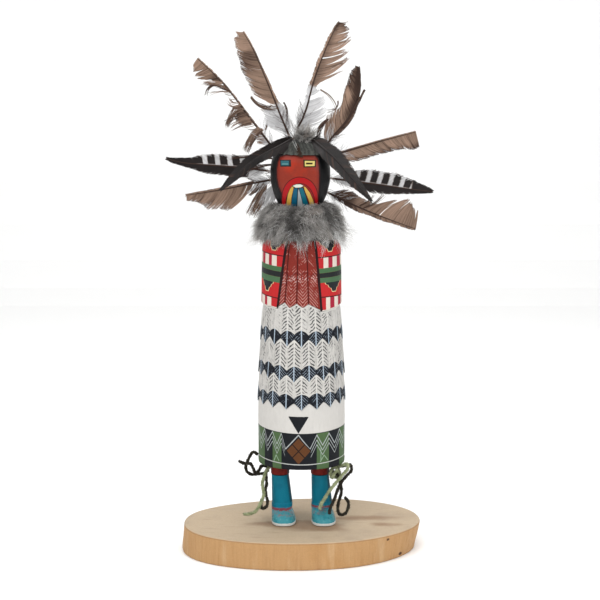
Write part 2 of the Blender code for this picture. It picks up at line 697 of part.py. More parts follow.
def make_feather(name, entry, parts, mat):
    """A lens section at each station: left edge, front ridge, right, back."""
    depth, curve, shaft, left, right = entry
    rings = []
    count = len(left)
    stations = shaft_stations(shaft, count)
    for i, (centre, along) in enumerate(stations):
        share = max(0.0, (i - 3) / (count - 4))
        y = (depth + curve * share ** 2) * U
        side = Vector((-along.y, along.x))
        quill = QUILL_RADIUS * (1 - 0.55 * share)
        wide_left = max(left[i] * U, quill)
        wide_right = max(right[i] * U, quill)
        a = centre + side * wide_left
        b = centre - side * wide_right
        camber_left = 0.06 * wide_left
        camber_right = 0.06 * wide_right
        front = RIDGE_FRONT * (1 - 0.5 * share)
        back = RIDGE_BACK * (1 - 0.5 * share)
        if left[i] == 0 and right[i] == 0:
            camber_left = 0.0
            camber_right = 0.0
            front = QUILL_RADIUS
            back = QUILL_RADIUS
        rings.append([
            (a.x, y + camber_left, a.y),
            (centre.x, y - front, centre.y),
            (b.x, y + camber_right, b.y),
            (centre.x, y + back, centre.y),
        ])
    return mesh_object(name, *loft(rings), parts, mat)





def make_strand(name, points, parts, mat):
    curve = bpy.data.curves.new(name, "CURVE")
    curve.dimensions = "3D"
    curve.bevel_depth = YARN_DIAMETER / 2
    curve.bevel_resolution = 2
    curve.use_fill_caps = True
    spline = curve.splines.new("POLY")
    spline.points.add(len(points) - 1)
    for target, (x, y, z) in zip(spline.points, points):
        target.co = (x * U, y * U, z * U, 1.0)
    obj = bpy.data.objects.new(name, curve)
    obj.location = (0.0, 0.0, STAND_Z)
    parts.objects.link(obj)
    curve.materials.append(mat)
    return obj


def main():
    for obj in list(bpy.data.objects):
        bpy.data.objects.remove(obj, do_unlink=True)
    scene = bpy.context.scene
    parts = bpy.data.collections.new("kachina_doll")
    cutters = bpy.data.collections.new("cutters")
    scene.collection.children.link(parts)
    scene.collection.children.link(cutters)

    wood = material("base_wood", (0.52, 0.34, 0.19), 0.7)
    paint = material("carved_paint", (0.45, 0.30, 0.27), 0.6)
    fur = material("grey_fur", (0.23, 0.22, 0.20), 0.95)
    down = material("grey_down", (0.20, 0.21, 0.20), 0.9)
    vane = material("brown_feather", (0.26, 0.20, 0.15), 0.8)
    barred = material("barred_feather", (0.42, 0.40, 0.37), 0.75)
    black = material("black_feather", (0.03, 0.025, 0.02), 0.5)
    green = material("green_yarn", (0.28, 0.33, 0.17), 0.95)
    dark = material("dark_yarn", (0.06, 0.06, 0.04), 0.95)

    make_base(parts, wood)
    make_figure(parts, cutters, paint)
    make_ruff(parts, fur)
    make_crown(parts, fur)
    make_forehead(parts, down)
    for name, entry in FAN_FEATHERS.items():
        is_barred = name in ("feather_left_3", "feather_right_4")
        make_feather(name, entry, parts, barred if is_barred else vane)
    for name, entry in DRAPED_FEATHERS.items():
        make_feather(name, entry, parts, black)
    for name, points in YARN_STRANDS.items():
        is_pale = name in PALE_STRANDS
        make_strand(name, points, parts, green if is_pale else dark)


main()
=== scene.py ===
"""Looks of the kachina doll: painted carving, feathers, fur, yarn and its wood slice.

Lengths in the tables are millimetres. Heights of the doll are counted from its
soles, which stand on the base.
"""

import math

import bpy
import numpy as np
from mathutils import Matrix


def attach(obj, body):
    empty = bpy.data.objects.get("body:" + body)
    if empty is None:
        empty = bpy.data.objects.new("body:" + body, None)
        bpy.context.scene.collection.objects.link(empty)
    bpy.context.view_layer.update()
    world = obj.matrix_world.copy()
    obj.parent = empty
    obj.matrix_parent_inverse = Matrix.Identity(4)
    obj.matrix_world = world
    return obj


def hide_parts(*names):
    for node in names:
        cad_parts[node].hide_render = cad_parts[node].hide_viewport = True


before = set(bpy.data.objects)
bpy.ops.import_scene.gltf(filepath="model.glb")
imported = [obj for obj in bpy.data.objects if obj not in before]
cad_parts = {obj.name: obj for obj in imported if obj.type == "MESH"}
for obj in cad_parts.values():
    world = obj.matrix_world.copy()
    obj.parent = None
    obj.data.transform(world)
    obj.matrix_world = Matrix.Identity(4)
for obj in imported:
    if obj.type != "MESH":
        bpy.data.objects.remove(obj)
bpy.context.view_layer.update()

MM = 0.001
DEG = math.pi / 180
BASE_TOP = 19.5
STAND = 19.8  # the soles' height: the base and 0.3 mm of clearance
DEPTH_RATIO = 0.86  # depth of the robe and of the head for their width
GOLDEN_ANGLE = 2.39996
SHOWN = 0.69  # share of a screen colour that the paint needs under the studio's light
RNG = np.random.default_rng(11)


# ---- shared helpers

def rgb(red, green, blue):
    """Linear colour of a paint from the screen values, 0 to 255, that it is to show."""
    c = np.array((red, green, blue)) / 255
    c = SHOWN * np.where(c <= 0.04045, c / 12.92, ((c + 0.055) / 1.055) ** 2.4)
    return (float(c[0]), float(c[1]), float(c[2]), 1.0)


def piece(name, points, faces, material, stands_for=(), fields=None):
    """A mesh object from points in millimetres and lists of face corners."""
    blocks = [np.asarray(f, np.int32) for f in (faces if isinstance(faces, list) else [faces])]
    corners = np.concatenate([b.ravel() for b in blocks])
    sizes = np.concatenate([np.full(len(b), b.shape[1]) for b in blocks])
    mesh = bpy.data.meshes.new(name)
    mesh.vertices.add(len(points))
    mesh.vertices.foreach_set("co", (np.asarray(points) * MM).astype(np.float32).ravel())
    mesh.loops.add(len(corners))
    mesh.loops.foreach_set("vertex_index", corners)
    mesh.polygons.add(len(sizes))
    starts = np.concatenate([[0], np.cumsum(sizes)[:-1]]).astype(np.int32)
    mesh.polygons.foreach_set("loop_start", starts)
    mesh.update(calc_edges=True)
    mesh.polygons.foreach_set("use_smooth", np.ones(len(sizes), bool))
    for field, values in (fields or {}).items():
        attribute = mesh.attributes.new(field, "FLOAT", "POINT")
        attribute.data.foreach_set("value", np.asarray(values, np.float32).ravel())
    mesh.materials.append(material)
    obj = bpy.data.objects.new(name, mesh)
    bpy.context.scene.collection.objects.link(obj)
    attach(obj, "root")
    if stands_for:
        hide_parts(*stands_for)
    return obj


def grid_faces(rows, columns, closed=True, start=0):
    """Quads between neighbouring rows of a grid whose columns may close on themselves."""
    r = np.arange(rows - 1)[:, None]
    c = np.arange(columns if closed else columns - 1)[None, :]
    d = (c + 1) % columns
    a, b = r * columns + c, r * columns + d
    return np.stack([a, b, b + columns, a + columns], -1).reshape(-1, 4) + start


def fan(centre, ring, flip=False):
    """Triangles from a centre point to a closed ring."""
    ring = np.asarray(ring)
    after = np.roll(ring, -1)
    mid = np.full(len(ring), centre)
    return np.stack([mid, after, ring] if flip else [mid, ring, after], -1)


def closed_faces(rows, columns):
    """Faces of closed rings, with fans to a point before the first and one after the last."""
    n = rows * columns
    return [grid_faces(rows, columns), fan(n, np.arange(columns), True),
            fan(n + 1, np.arange(n - columns, n))]


def circle(count):
    """Angles at even steps once round."""
    return np.linspace(0, 2 * np.pi, count, endpoint=False)


def standing(x, y, z):
    """Points from places across, depths and heights above the soles."""
    return np.stack(np.broadcast_arrays(x, y, z + STAND), -1)


def per_point(value, shape, times=2):
    """A value between 0 and 1 for each of a shape's members, repeated for its points."""
    return np.repeat(np.clip(value + np.zeros(shape), 0, 1).reshape(-1), times)


def bent(a, b, c, t):
    """A quadratic curve from a to c by way of b."""
    return a * (1 - t) ** 2 + b * 2 * t * (1 - t) + c * t ** 2


def unit(v):
    """Vectors made 1 long."""
    return v / np.maximum(np.linalg.norm(v, axis=-1, keepdims=True), 1e-12)


def lookup(table, value):
    """Straight between the rows of a table of pairs."""
    t = np.asarray(table, float)
    return np.interp(value, t[:, 0], t[:, 1])


def ease(x, low, high):
    """0 below low, 1 above high and an S between."""
    t = np.clip((x - low) / (high - low), 0, 1)
    return t * t * (3 - 2 * t)


def through(points, count):
    """A smooth curve through points: cubic between each two, its slope at a point the mean of
    both sides, read at even steps of length. Gives its points and its length."""
    p = np.asarray(points, float)
    ends = np.vstack([2 * p[0] - p[1], p, 2 * p[-1] - p[-2]])
    t = np.linspace(0, 1, 24, endpoint=False)[:, None]
    a, b, c, d = (ends[i:len(p) - 1 + i][:, None, :] for i in range(4))
    curve = 0.5 * (2 * b + (c - a) * t + (2 * a - 5 * b + 4 * c - d) * t ** 2
                   + (3 * b - a - 3 * c + d) * t ** 3)
    curve = np.vstack([curve.reshape(-1, p.shape[1]), p[-1:]])
    run = np.concatenate([[0], np.cumsum(np.linalg.norm(np.diff(curve, axis=0), axis=1))])
    at = np.linspace(0, run[-1], count)
    return np.stack([np.interp(at, run, curve[:, k]) for k in range(p.shape[1])], 1), run[-1]


def tube(path, radii, sides, normals=None):
    """Rings of a round tube about a path, closed at both ends with fans."""
    path = np.asarray(path, float)
    along = unit(np.gradient(path, axis=0))
    if normals is None:
        normals = turned_frame(path)
    first = unit(normals - along * np.sum(normals * along, -1, keepdims=True))
    second = np.cross(along, first)
    turn = circle(sides)
    radii = np.broadcast_to(radii, len(path))
    ring = (first[:, None] * np.cos(turn)[None, :, None]
            + second[:, None] * np.sin(turn)[None, :, None])
    points = (path[:, None] + ring * radii[:, None, None]).reshape(-1, 3)
    return np.vstack([points, path[:1], path[-1:]]), closed_faces(len(path), sides)


def turned_frame(path):
    """A normal along a path that never spins: each is the one before, made square to
    the path."""
    along = unit(np.gradient(np.asarray(path, float), axis=0))
    normal = np.cross(along[0], (0.31, 0.2, 0.93))
    kept = []
    for t in along:
        normal = normal - t * (normal @ t)
        normal = normal / np.linalg.norm(normal)
        kept.append(normal)
    return np.array(kept)


def ribbons(centres, sides, widths):
    """Flat bands: each edge is the centre line plus or minus the side vector times half
    the width."""
    n, k, _ = centres.shape
    half = np.broadcast_to(widths, (n, k))[..., None] / 2
    edge = np.broadcast_to(sides, centres.shape) * half
    points = np.stack([centres - edge, centres + edge], 2).reshape(-1, 3)
    a = (np.arange(n)[:, None] * k + np.arange(k - 1)[None, :]) * 2
    faces = np.stack([a, a + 1, a + 3, a + 2], -1).reshape(-1, 4)
    return points, faces


def join(*parts):
    """Several (points, faces, fields) as one."""
    points, faces, fields, start = [], [], {}, 0
    for p, f, values in parts:
        points.append(p)
        for block in (f if isinstance(f, list) else [f]):
            faces.append(block + start)
        for key, v in values.items():
            fields.setdefault(key, []).append(np.broadcast_to(v, len(p)))
        start += len(p)
    return np.vstack(points), faces, {k: np.concatenate(v) for k, v in fields.items()}


# ---- materials

class Level:
    """A number that varies over the surface; arithmetic on it adds Math nodes."""

    def __init__(self, tree, socket):
        self.tree, self.socket = tree, socket

    def math(self, kind, *others):
        """The result of one Math node with this level as its first input."""
        node = self.tree.nodes.new("ShaderNodeMath")
        node.operation = kind
        for i, v in enumerate((self,) + others):
            if isinstance(v, Level):
                self.tree.links.new(v.socket, node.inputs[i])
            else:
                node.inputs[i].default_value = v
        return Level(self.tree, node.outputs[0])

    def __add__(self, other):
        return self.math("ADD", other)

    def __sub__(self, other):
        return self.math("SUBTRACT", other)

    def __mul__(self, other):
        return self.math("MULTIPLY", other)

    def __neg__(self):
        return self.math("MULTIPLY", -1.0)

    def size(self):
        """Its distance from 0."""
        return self.math("ABSOLUTE")

    def lower(self, other):
        """The lower of two levels, which is where both are."""
        return self.math("MINIMUM", other)

    def higher(self, other):
        """The higher of two levels, which is where either is."""
        return self.math("MAXIMUM", other)

    def wave(self, period):
        """Distance to the nearest whole period, 0 to half a period."""
        part = self.math("DIVIDE", period).math("FRACT")
        return (part - 0.5).size().math("MULTIPLY", -period) + period / 2

    def between(self, low, high):
        """0 below low and 1 above high, smoothly."""
        node = self.tree.nodes.new("ShaderNodeMapRange")
        node.interpolation_type = "SMOOTHSTEP"
        self.tree.links.new(self.socket, node.inputs[0])
        node.inputs[1].default_value, node.inputs[2].default_value = low, high
        return Level(self.tree, node.outputs[0])

    def edge(self, soft=0.1):
        """0 below zero and 1 above it, with an edge as soft as that on both sides."""
        return self.between(-soft, soft)

    def above(self, limit, soft=0.1):
        """1 where it is over a limit."""
        return (self - limit).edge(soft)

    def under(self, limit, soft=0.1):
        """1 where it is less than a limit."""
        return (-self + limit).edge(soft)

    def away(self, middle, half):
        """How far it is inside a stripe of that half width about a middle."""
        return -((self - middle).size()) + half


class Finish:
    """One material: its colour is layers laid over each other."""

    def __init__(self, name, colour, roughness=0.6, sheen=0.0, shine=0.14):
        self.material = bpy.data.materials.new(name)
        self.material.use_nodes = True
        self.tree = self.material.node_tree
        self.shader = self.tree.nodes["Principled BSDF"]
        self.shader.inputs["Roughness"].default_value = roughness
        self.shader.inputs["Sheen Weight"].default_value = sheen
        self.shader.inputs["Specular IOR Level"].default_value = shine
        self.shader.inputs["Base Color"].default_value = colour
        self.colour = colour
        self.place = self.tree.nodes.new("ShaderNodeTexCoord").outputs["Object"]
        self.material.diffuse_color = colour

    def field(self, name):
        """The level that a piece's attribute holds."""
        node = self.tree.nodes.new("ShaderNodeAttribute")
        node.attribute_name = name
        return Level(self.tree, node.outputs["Fac"])

    def mapped(self, stretch, turn=(0, 0, 0)):
        """Object coordinates in millimetres, stretched and turned."""
        node = self.tree.nodes.new("ShaderNodeMapping")
        node.inputs["Scale"].default_value = [1000 * s for s in stretch]
        node.inputs["Rotation"].default_value = turn
        self.tree.links.new(self.place, node.inputs["Vector"])
        return node.outputs[0]

    def noise(self, per_mm, detail=3.0, stretch=(1, 1, 1), turn=(0, 0, 0), rough=0.55):
        """Noise on object coordinates, centred on 0 and about plus or minus 1."""
        node = self.tree.nodes.new("ShaderNodeTexNoise")
        self.tree.links.new(self.mapped(stretch, turn), node.inputs["Vector"])
        node.inputs["Scale"].default_value = per_mm
        node.inputs["Detail"].default_value = detail
        node.inputs["Roughness"].default_value = rough
        return (Level(self.tree, node.outputs["Fac"]) - 0.5) * 3.0

    def spots(self, per_mm, stretch=(1, 1, 1)):
        """Distance to the nearest of scattered points."""
        node = self.tree.nodes.new("ShaderNodeTexVoronoi")
        self.tree.links.new(self.mapped(stretch), node.inputs["Vector"])
        node.inputs["Scale"].default_value = per_mm
        return Level(self.tree, node.outputs["Distance"])

    def lay(self, level, colour):
        """Lays a colour over what is there, as strong as the level."""
        node = self.tree.nodes.new("ShaderNodeMix")
        node.data_type = "RGBA"
        self.tree.links.new(level.socket, node.inputs["Factor"])
        for socket, value in ((node.inputs[6], self.colour), (node.inputs[7], colour)):
            if isinstance(value, bpy.types.NodeSocket):
                self.tree.links.new(value, socket)
            else:
                socket.default_value = value
        self.colour = node.outputs[2]
        return self

    def shade(self, level, amount):
        """Makes the colour lighter and darker with a level about 0."""
        node = self.tree.nodes.new("ShaderNodeMix")
        node.data_type = "RGBA"
        node.blend_type = "MULTIPLY"
        node.inputs["Factor"].default_value = 1.0
        ramp = level * amount + 1.0
        self.tree.links.new(self.colour, node.inputs[6])
        self.tree.links.new(ramp.socket, node.inputs[7])
        self.colour = node.outputs[2]
        return self

    def rough(self, level, middle, amount):
        """Roughness about a middle value, varied with a level."""
        self.tree.links.new((level * amount + middle).socket, self.shader.inputs["Roughness"])
        return self

    def relief(self, level, depth):
        """Bump of a height in millimetres."""
        node = self.tree.nodes.new("ShaderNodeBump")
        node.inputs["Distance"].default_value = depth * MM
        self.tree.links.new(level.socket, node.inputs["Height"])
        self.tree.links.new(node.outputs[0], self.shader.inputs["Normal"])
        return self

    def done(self):
        """The finished material."""
        if isinstance(self.colour, bpy.types.NodeSocket):
            self.tree.links.new(self.colour, self.shader.inputs["Base Color"])
        return self.material


# ---- camera, floor and light

CAMERA_PLACE = (0.0, -0.95, 0.31)
CAMERA_TILT = 81.8
CAMERA_LENS, CAMERA_SENSOR = 81.5475, 36.0
CAMERA_SHIFT = (-0.0025, 0.015)
AIM = (0, 0, 0.18)
SKY = 0.56
# the floor in metres: where it starts to rise, the bend's radius and the bend's length
RISE, BEND, ARC = 1.2, 0.4, 0.628
# lamps: name, place, size and power
LAMPS = (
    ("key", (-0.75, -1.1, 1.25), 1.5, 19.5),
    ("fill", (0.95, -1.0, 0.75), 0.9, 9.0),
    ("top", (0.1, 0.25, 1.5), 1.0, 10.0),
)


def make_studio():
    """A camera as the photograph's, a pale floor that rises behind, and soft lights."""
    scene = bpy.context.scene
    camera = bpy.data.cameras.new("camera")
    camera.lens = CAMERA_LENS
    camera.sensor_width = CAMERA_SENSOR
    camera.shift_x, camera.shift_y = CAMERA_SHIFT
    holder = bpy.data.objects.new("camera", camera)
    holder.location = CAMERA_PLACE
    holder.rotation_euler = (math.radians(CAMERA_TILT), 0, 0)
    scene.collection.objects.link(holder)
    scene.camera = holder
    scene.view_settings.view_transform = "Standard"

    u = np.linspace(-2.2, 2.2, 12)
    run = np.linspace(-2.5, 3.0, 60)
    turn = np.clip(run - RISE, 0, ARC) / BEND
    y = np.minimum(run, RISE + BEND * np.sin(turn))
    z = BEND * (1 - np.cos(turn)) + np.clip(run - 1.83, 0, 9)
    points = np.stack([np.tile(u, len(run)), np.repeat(y, len(u)), np.repeat(z, len(u))], 1)
    white = Finish("pale_floor", (0.93, 0.93, 0.925, 1.0), 0.9)
    floor = bpy.data.meshes.new("floor")
    floor.from_pydata(points.tolist(), [], grid_faces(len(run), len(u), False).tolist())
    white.lay(white.noise(0.004).between(0, 1), (0.92, 0.92, 0.92, 1.0))
    floor.materials.append(white.done())
    stand = bpy.data.objects.new("floor", floor)
    scene.collection.objects.link(stand)

    world = bpy.data.worlds.new("studio")
    world.use_nodes = True
    light = world.node_tree.nodes["Background"]
    light.inputs[0].default_value = (1, 1, 1, 1)
    light.inputs[1].default_value = SKY
    scene.world = world
    for name, place, size, power in LAMPS:
        light = bpy.data.lights.new(name, "AREA")
        light.size = size
        light.energy = power
        lamp = bpy.data.objects.new(name, light)
        lamp.location = place
        back = np.array(place) - np.array(AIM)
        azimuth = math.atan2(back[0], -back[1])
        lamp.rotation_euler = (math.acos(back[2] / np.linalg.norm(back)), 0, azimuth)
        scene.collection.objects.link(lamp)


make_studio()


# ---- yarn: free cords

PLIES, PLY_TURN, PLY_OFFSET, PLY_RADIUS = 3, 6.5, 0.58, 0.60
FIBRE_WIDTH = 0.19
# each strand from its knot at the boot to its far end: across, deep and high
YARN_ROUTES = {
    "yarn_left_1": [
        (-22.9, -1.5, 39.4), (-25.2, -3.9, 36.5), (-26.9, -5.2, 32.6), (-28.0, -6.2, 28.4),
        (-27.4, -7.2, 24.1), (-27.0, -8.5, 20.0), (-28.6, -10.1, 16.2),
        (-30.5, -11.7, 12.4), (-33.2, -12.9, 9.3), (-37.3, -12.7, 7.7), (-41.4, -11.0, 7.0),
    ],
    "yarn_left_2": [
        (-23.8, 2.5, 38.4), (-25.4, 1.6, 34.5), (-25.3, 0.2, 30.5), (-25.0, -1.8, 26.8),
        (-25.7, -4.1, 23.3), (-25.4, -6.0, 19.6), (-24.3, -8.1, 16.0), (-24.9, -10.4, 12.6),
        (-28.0, -10.4, 11.0), (-29.0, -6.8, 13.0), (-28.3, -4.0, 16.1),
    ],
    "yarn_left_3": [
        (-24.5, 6.0, 37.4), (-28.7, 5.1, 38.1), (-30.5, 2.1, 35.6), (-33.2, -0.6, 34.3),
        (-34.6, -1.9, 38.2), (-36.6, -2.5, 41.7), (-41.0, -2.2, 41.9), (-45.1, -2.0, 43.6),
    ],
    "yarn_left_4": [
        (-23.7, 6.8, 34.5), (-27.4, 7.0, 32.2), (-31.7, 7.0, 31.7), (-36.0, 6.8, 31.4),
        (-39.4, 5.8, 33.8), (-40.3, 4.8, 37.9), (-38.9, 4.0, 41.9), (-37.2, 3.1, 45.8),
        (-34.6, 2.2, 49.2), (-31.2, 0.6, 47.7),
    ],
    "yarn_right_1": [
        (21.2, 2.0, 40.2), (23.7, -1.6, 40.5), (26.4, -5.1, 41.0), (29.4, -8.0, 42.3),
        (32.6, -10.4, 43.5), (32.4, -10.7, 39.5), (29.6, -10.1, 36.2), (26.8, -11.1, 32.9),
        (23.9, -11.9, 29.7), (21.2, -12.4, 26.3), (18.7, -12.7, 22.6), (16.3, -13.4, 19.0),
        (14.1, -15.3, 15.8), (12.8, -18.5, 13.0),
    ],
    "yarn_right_2": [
        (21.3, 5.5, 37.6), (24.8, 2.6, 38.4), (28.1, -0.3, 39.3), (31.5, -3.0, 40.7),
        (35.0, -5.5, 41.7), (35.5, -7.9, 38.1), (32.5, -9.5, 35.2), (29.6, -9.5, 31.6),
        (27.1, -9.8, 27.8), (25.3, -10.5, 23.7), (23.9, -11.6, 19.5), (22.2, -13.9, 16.1),
        (20.4, -17.0, 13.3), (19.6, -19.8, 9.8),
    ],
    "yarn_right_3": [
        (22.0, 4.5, 34.5), (25.1, 1.4, 33.6), (27.2, -1.5, 31.0), (28.1, -3.5, 27.1),
        (28.6, -4.9, 22.9), (27.8, -6.2, 18.7), (26.4, -7.5, 14.6), (25.9, -9.3, 10.6),
        (27.2, -11.2, 6.9), (31.1, -11.5, 7.6), (33.2, -9.6, 11.0), (33.5, -7.6, 14.9),
        (30.9, -6.0, 18.2),
    ],
    "yarn_right_4": [
        (21.4, 7.0, 31.6), (24.7, 6.8, 29.1), (27.4, 4.3, 31.1), (27.3, 1.0, 33.9),
        (26.6, -2.2, 36.7), (25.3, -5.5, 39.3), (22.5, -8.5, 40.3), (20.5, -10.6, 37.4),
        (21.8, -11.0, 33.6), (23.0, -13.0, 37.2), (25.6, -14.0, 40.5),
    ],
}
PALE_STRANDS = ("yarn_left_1", "yarn_right_1", "yarn_right_4")
FLUFFY_STRANDS = ("yarn_right_4", "yarn_right_1")


def dyed_wool(name, dark, light, patch, sheen):
    """Wool from dark to light by its own field, with patches of a third colour."""
    wool = Finish(name, dark, 0.95, sheen)
    wool.lay(wool.field("tint").between(0.0, 1.0), light)
    wool.lay((wool.noise(0.25, 2) + 0.1).between(0.3, 1.1), patch)
    wool.shade(wool.noise(2.2, 4), 0.22).relief(wool.noise(5.0, 3), 0.15)
    return wool.done()


def make_yarn():
    """Each strand is three plies wound round its route, with loose fibres standing off it."""
    pale_wool = dyed_wool("pale_yarn", rgb(118, 132, 84), rgb(196, 204, 156), rgb(70, 80, 50), 0.35)
    dark_wool = dyed_wool("olive_yarn", rgb(16, 14, 12), rgb(60, 54, 44), rgb(96, 98, 68), 0.06)
    for name, route in YARN_ROUTES.items():
        route = np.array(route) + (0, 0, STAND)
        path, length = through(route, 36)
        fine, _ = through(route, 150)
        normal = turned_frame(fine)
        across = np.cross(unit(np.gradient(fine, axis=0)), normal)
        run = np.linspace(0, length, len(fine))
        swell = 1 + 0.10 * np.sin(run * 1.1 + RNG.uniform(0, 6)) + 0.06 * np.sin(run * 2.7)
        parts = []
        for ply in range(PLIES):
            turn = 2 * np.pi * (run / PLY_TURN + ply / PLIES)
            out = normal * np.cos(turn)[:, None] + across * np.sin(turn)[:, None]
            p, f = tube(fine + out * (PLY_OFFSET * swell)[:, None], PLY_RADIUS * swell, 7)
            parts.append((p, f, {"tint": RNG.uniform(0.35, 0.9)}))
        pale = name in PALE_STRANDS
        fluffy = name in FLUFFY_STRANDS
        count = int(length * (48 if fluffy else 34 if pale else 20))
        at = RNG.integers(0, len(fine) - 1, count)
        angle = RNG.uniform(0, 2 * np.pi, count)
        out = normal[at] * np.cos(angle)[:, None] + across[at] * np.sin(angle)[:, None]
        on = unit(np.gradient(fine, axis=0))[at]
        lean = on * RNG.uniform(-1.4, 1.4, count)[:, None] + RNG.normal(0, 0.35, (count, 3))
        most = 1.3 if fluffy else 1.35
        reach = np.minimum(RNG.gamma(2.2, most / 4.5, count), most)[:, None, None] + 0.25
        lean = lean / np.maximum(1, np.linalg.norm(lean, axis=1) / 1.1)[:, None]
        t = np.linspace(0, 1, 5)[None, :, None]
        fibre = fine[at][:, None] + out[:, None] * (0.85 + reach * 0.62 * t) + (
            lean[:, None] * reach * (t - 0.35 * t ** 2))
        fibre[..., 2] = np.maximum(fibre[..., 2], BASE_TOP + 0.2)
        side = unit(np.cross(unit(out + lean), RNG.normal(0, 1, (count, 3))))[:, None]
        p, f = ribbons(fibre, side, FIBRE_WIDTH * (1 - 0.6 * t[..., 0]))
        parts.append((p, f, {"tint": np.repeat(RNG.uniform(0.3, 1.0, count), 10)}))
        points, faces, fields = join(*parts)
        finish, slot = (pale_wool, "green_yarn") if pale else (dark_wool, "dark_yarn")
        strand = piece(name + "_wool", points, faces, finish, [name], fields)


make_yarn()


# ---- base slice

HALF_WIDTH, HALF_DEPTH = 83.5, 55.0
EDGE = 1.3  # radius of the softened edges
LEAN = 1.6  # how far the top stands to the right of the foot
SLICE_TURN = 5 * DEG
BLUNT = 0.93  # power of the sine and cosine that makes the ellipse a little blunt
# darker patches on the top, three round and between the boots and the others stains further out:
# place, then reach across and deep
TOP_PATCHES = ((-13, -9, 13, 12), (15, -10, 14, 12), (2, -16, 16, 9), (-32, -12, 14, 6),
          (46, 4, 26, 7), (22, -24, 12, 6), (60, -12, 16, 5))
# small knots on the side: place across, height, radius and which side of the slice
KNOTS = ((60.2, 16.4, 1.1, -1), (69.5, 2.8, 1.4, -1), (-31.0, 8.0, 1.3, 1),
         (22.0, 13.0, 0.9, 1))


def slice_wood():
    """Upright grain and knots on the side, and the sawn face with its darker patches laid over it.
    """
    wood = Finish("slice_wood", rgb(206, 162, 112), 0.62)
    upright = wood.noise(0.55, 5, (1, 1, 0.07))
    wood.lay(upright.between(-0.2, 1.5), rgb(176, 128, 80))
    wood.lay((-upright).between(0.3, 1.6), rgb(218, 180, 134))
    wood.lay((wood.noise(0.05, 2) * 0.8).between(0.0, 1.2), rgb(200, 152, 98))
    wood.lay(wood.noise(0.10, 3, (1, 1, 0.15)).between(0.1, 0.8) * 0.75, rgb(222, 186, 142))
    wood.lay(wood.noise(0.19, 3, (1, 1, 0.12), (3, 7, 1)).between(0.3, 1.0) * 0.7,
             rgb(180, 130, 86))
    fleck = wood.noise(1.6, 4, (1, 1, 0.3))
    wood.lay(fleck.between(0.75, 1.5), rgb(160, 112, 66))
    knots = (wood.field("knot") + wood.noise(1.2, 2) * 0.3).between(-0.15, 0.45)
    wood.lay(knots, rgb(92, 62, 44))
    flat = wood.field("top")
    top_grain = wood.noise(0.35, 5, (0.16, 1, 1), (0, 0, -0.12))
    # the sawn face is laid over the side by its own field
    grey = wood.noise(0.03, 3)
    wood.lay(flat.between(0.15, 0.8), rgb(212, 190, 161))
    wood.lay(flat.lower(top_grain.between(0.1, 1.3)), rgb(176, 152, 126))
    wood.lay(flat.lower((-top_grain).between(0.2, 1.4)) * 0.9, rgb(222, 205, 182))
    wood.lay(flat.lower(grey.between(0.0, 1.0)) * 0.7, rgb(184, 164, 142))
    fine = wood.noise(1.4, 4, (0.12, 1, 1), (0, 0, -0.12))
    wood.lay(flat.lower(fine.between(0.5, 1.5)) * 0.45, rgb(158, 130, 104))
    # darker patches on the top, three round and between the boots and the others stains further out
    darker = wood.field("top_patch") + wood.noise(0.12, 3, (0.5, 1, 1)) * 0.25
    wood.lay(flat.lower(darker.between(0.25, 1.0)) * 0.75, rgb(158, 124, 94))
    wood.lay(wood.field("rise").away(18.6, 0.6).between(0.0, 0.5) * 0.4, rgb(146, 104, 64))
    wood.shade(wood.noise(1.1, 5), 0.10)
    wood.rough(upright, 0.6, 0.06)
    wood.relief(upright * 0.5 + fleck * 0.5 + wood.noise(3.5, 3) * 0.3, 0.16)
    return wood.done()


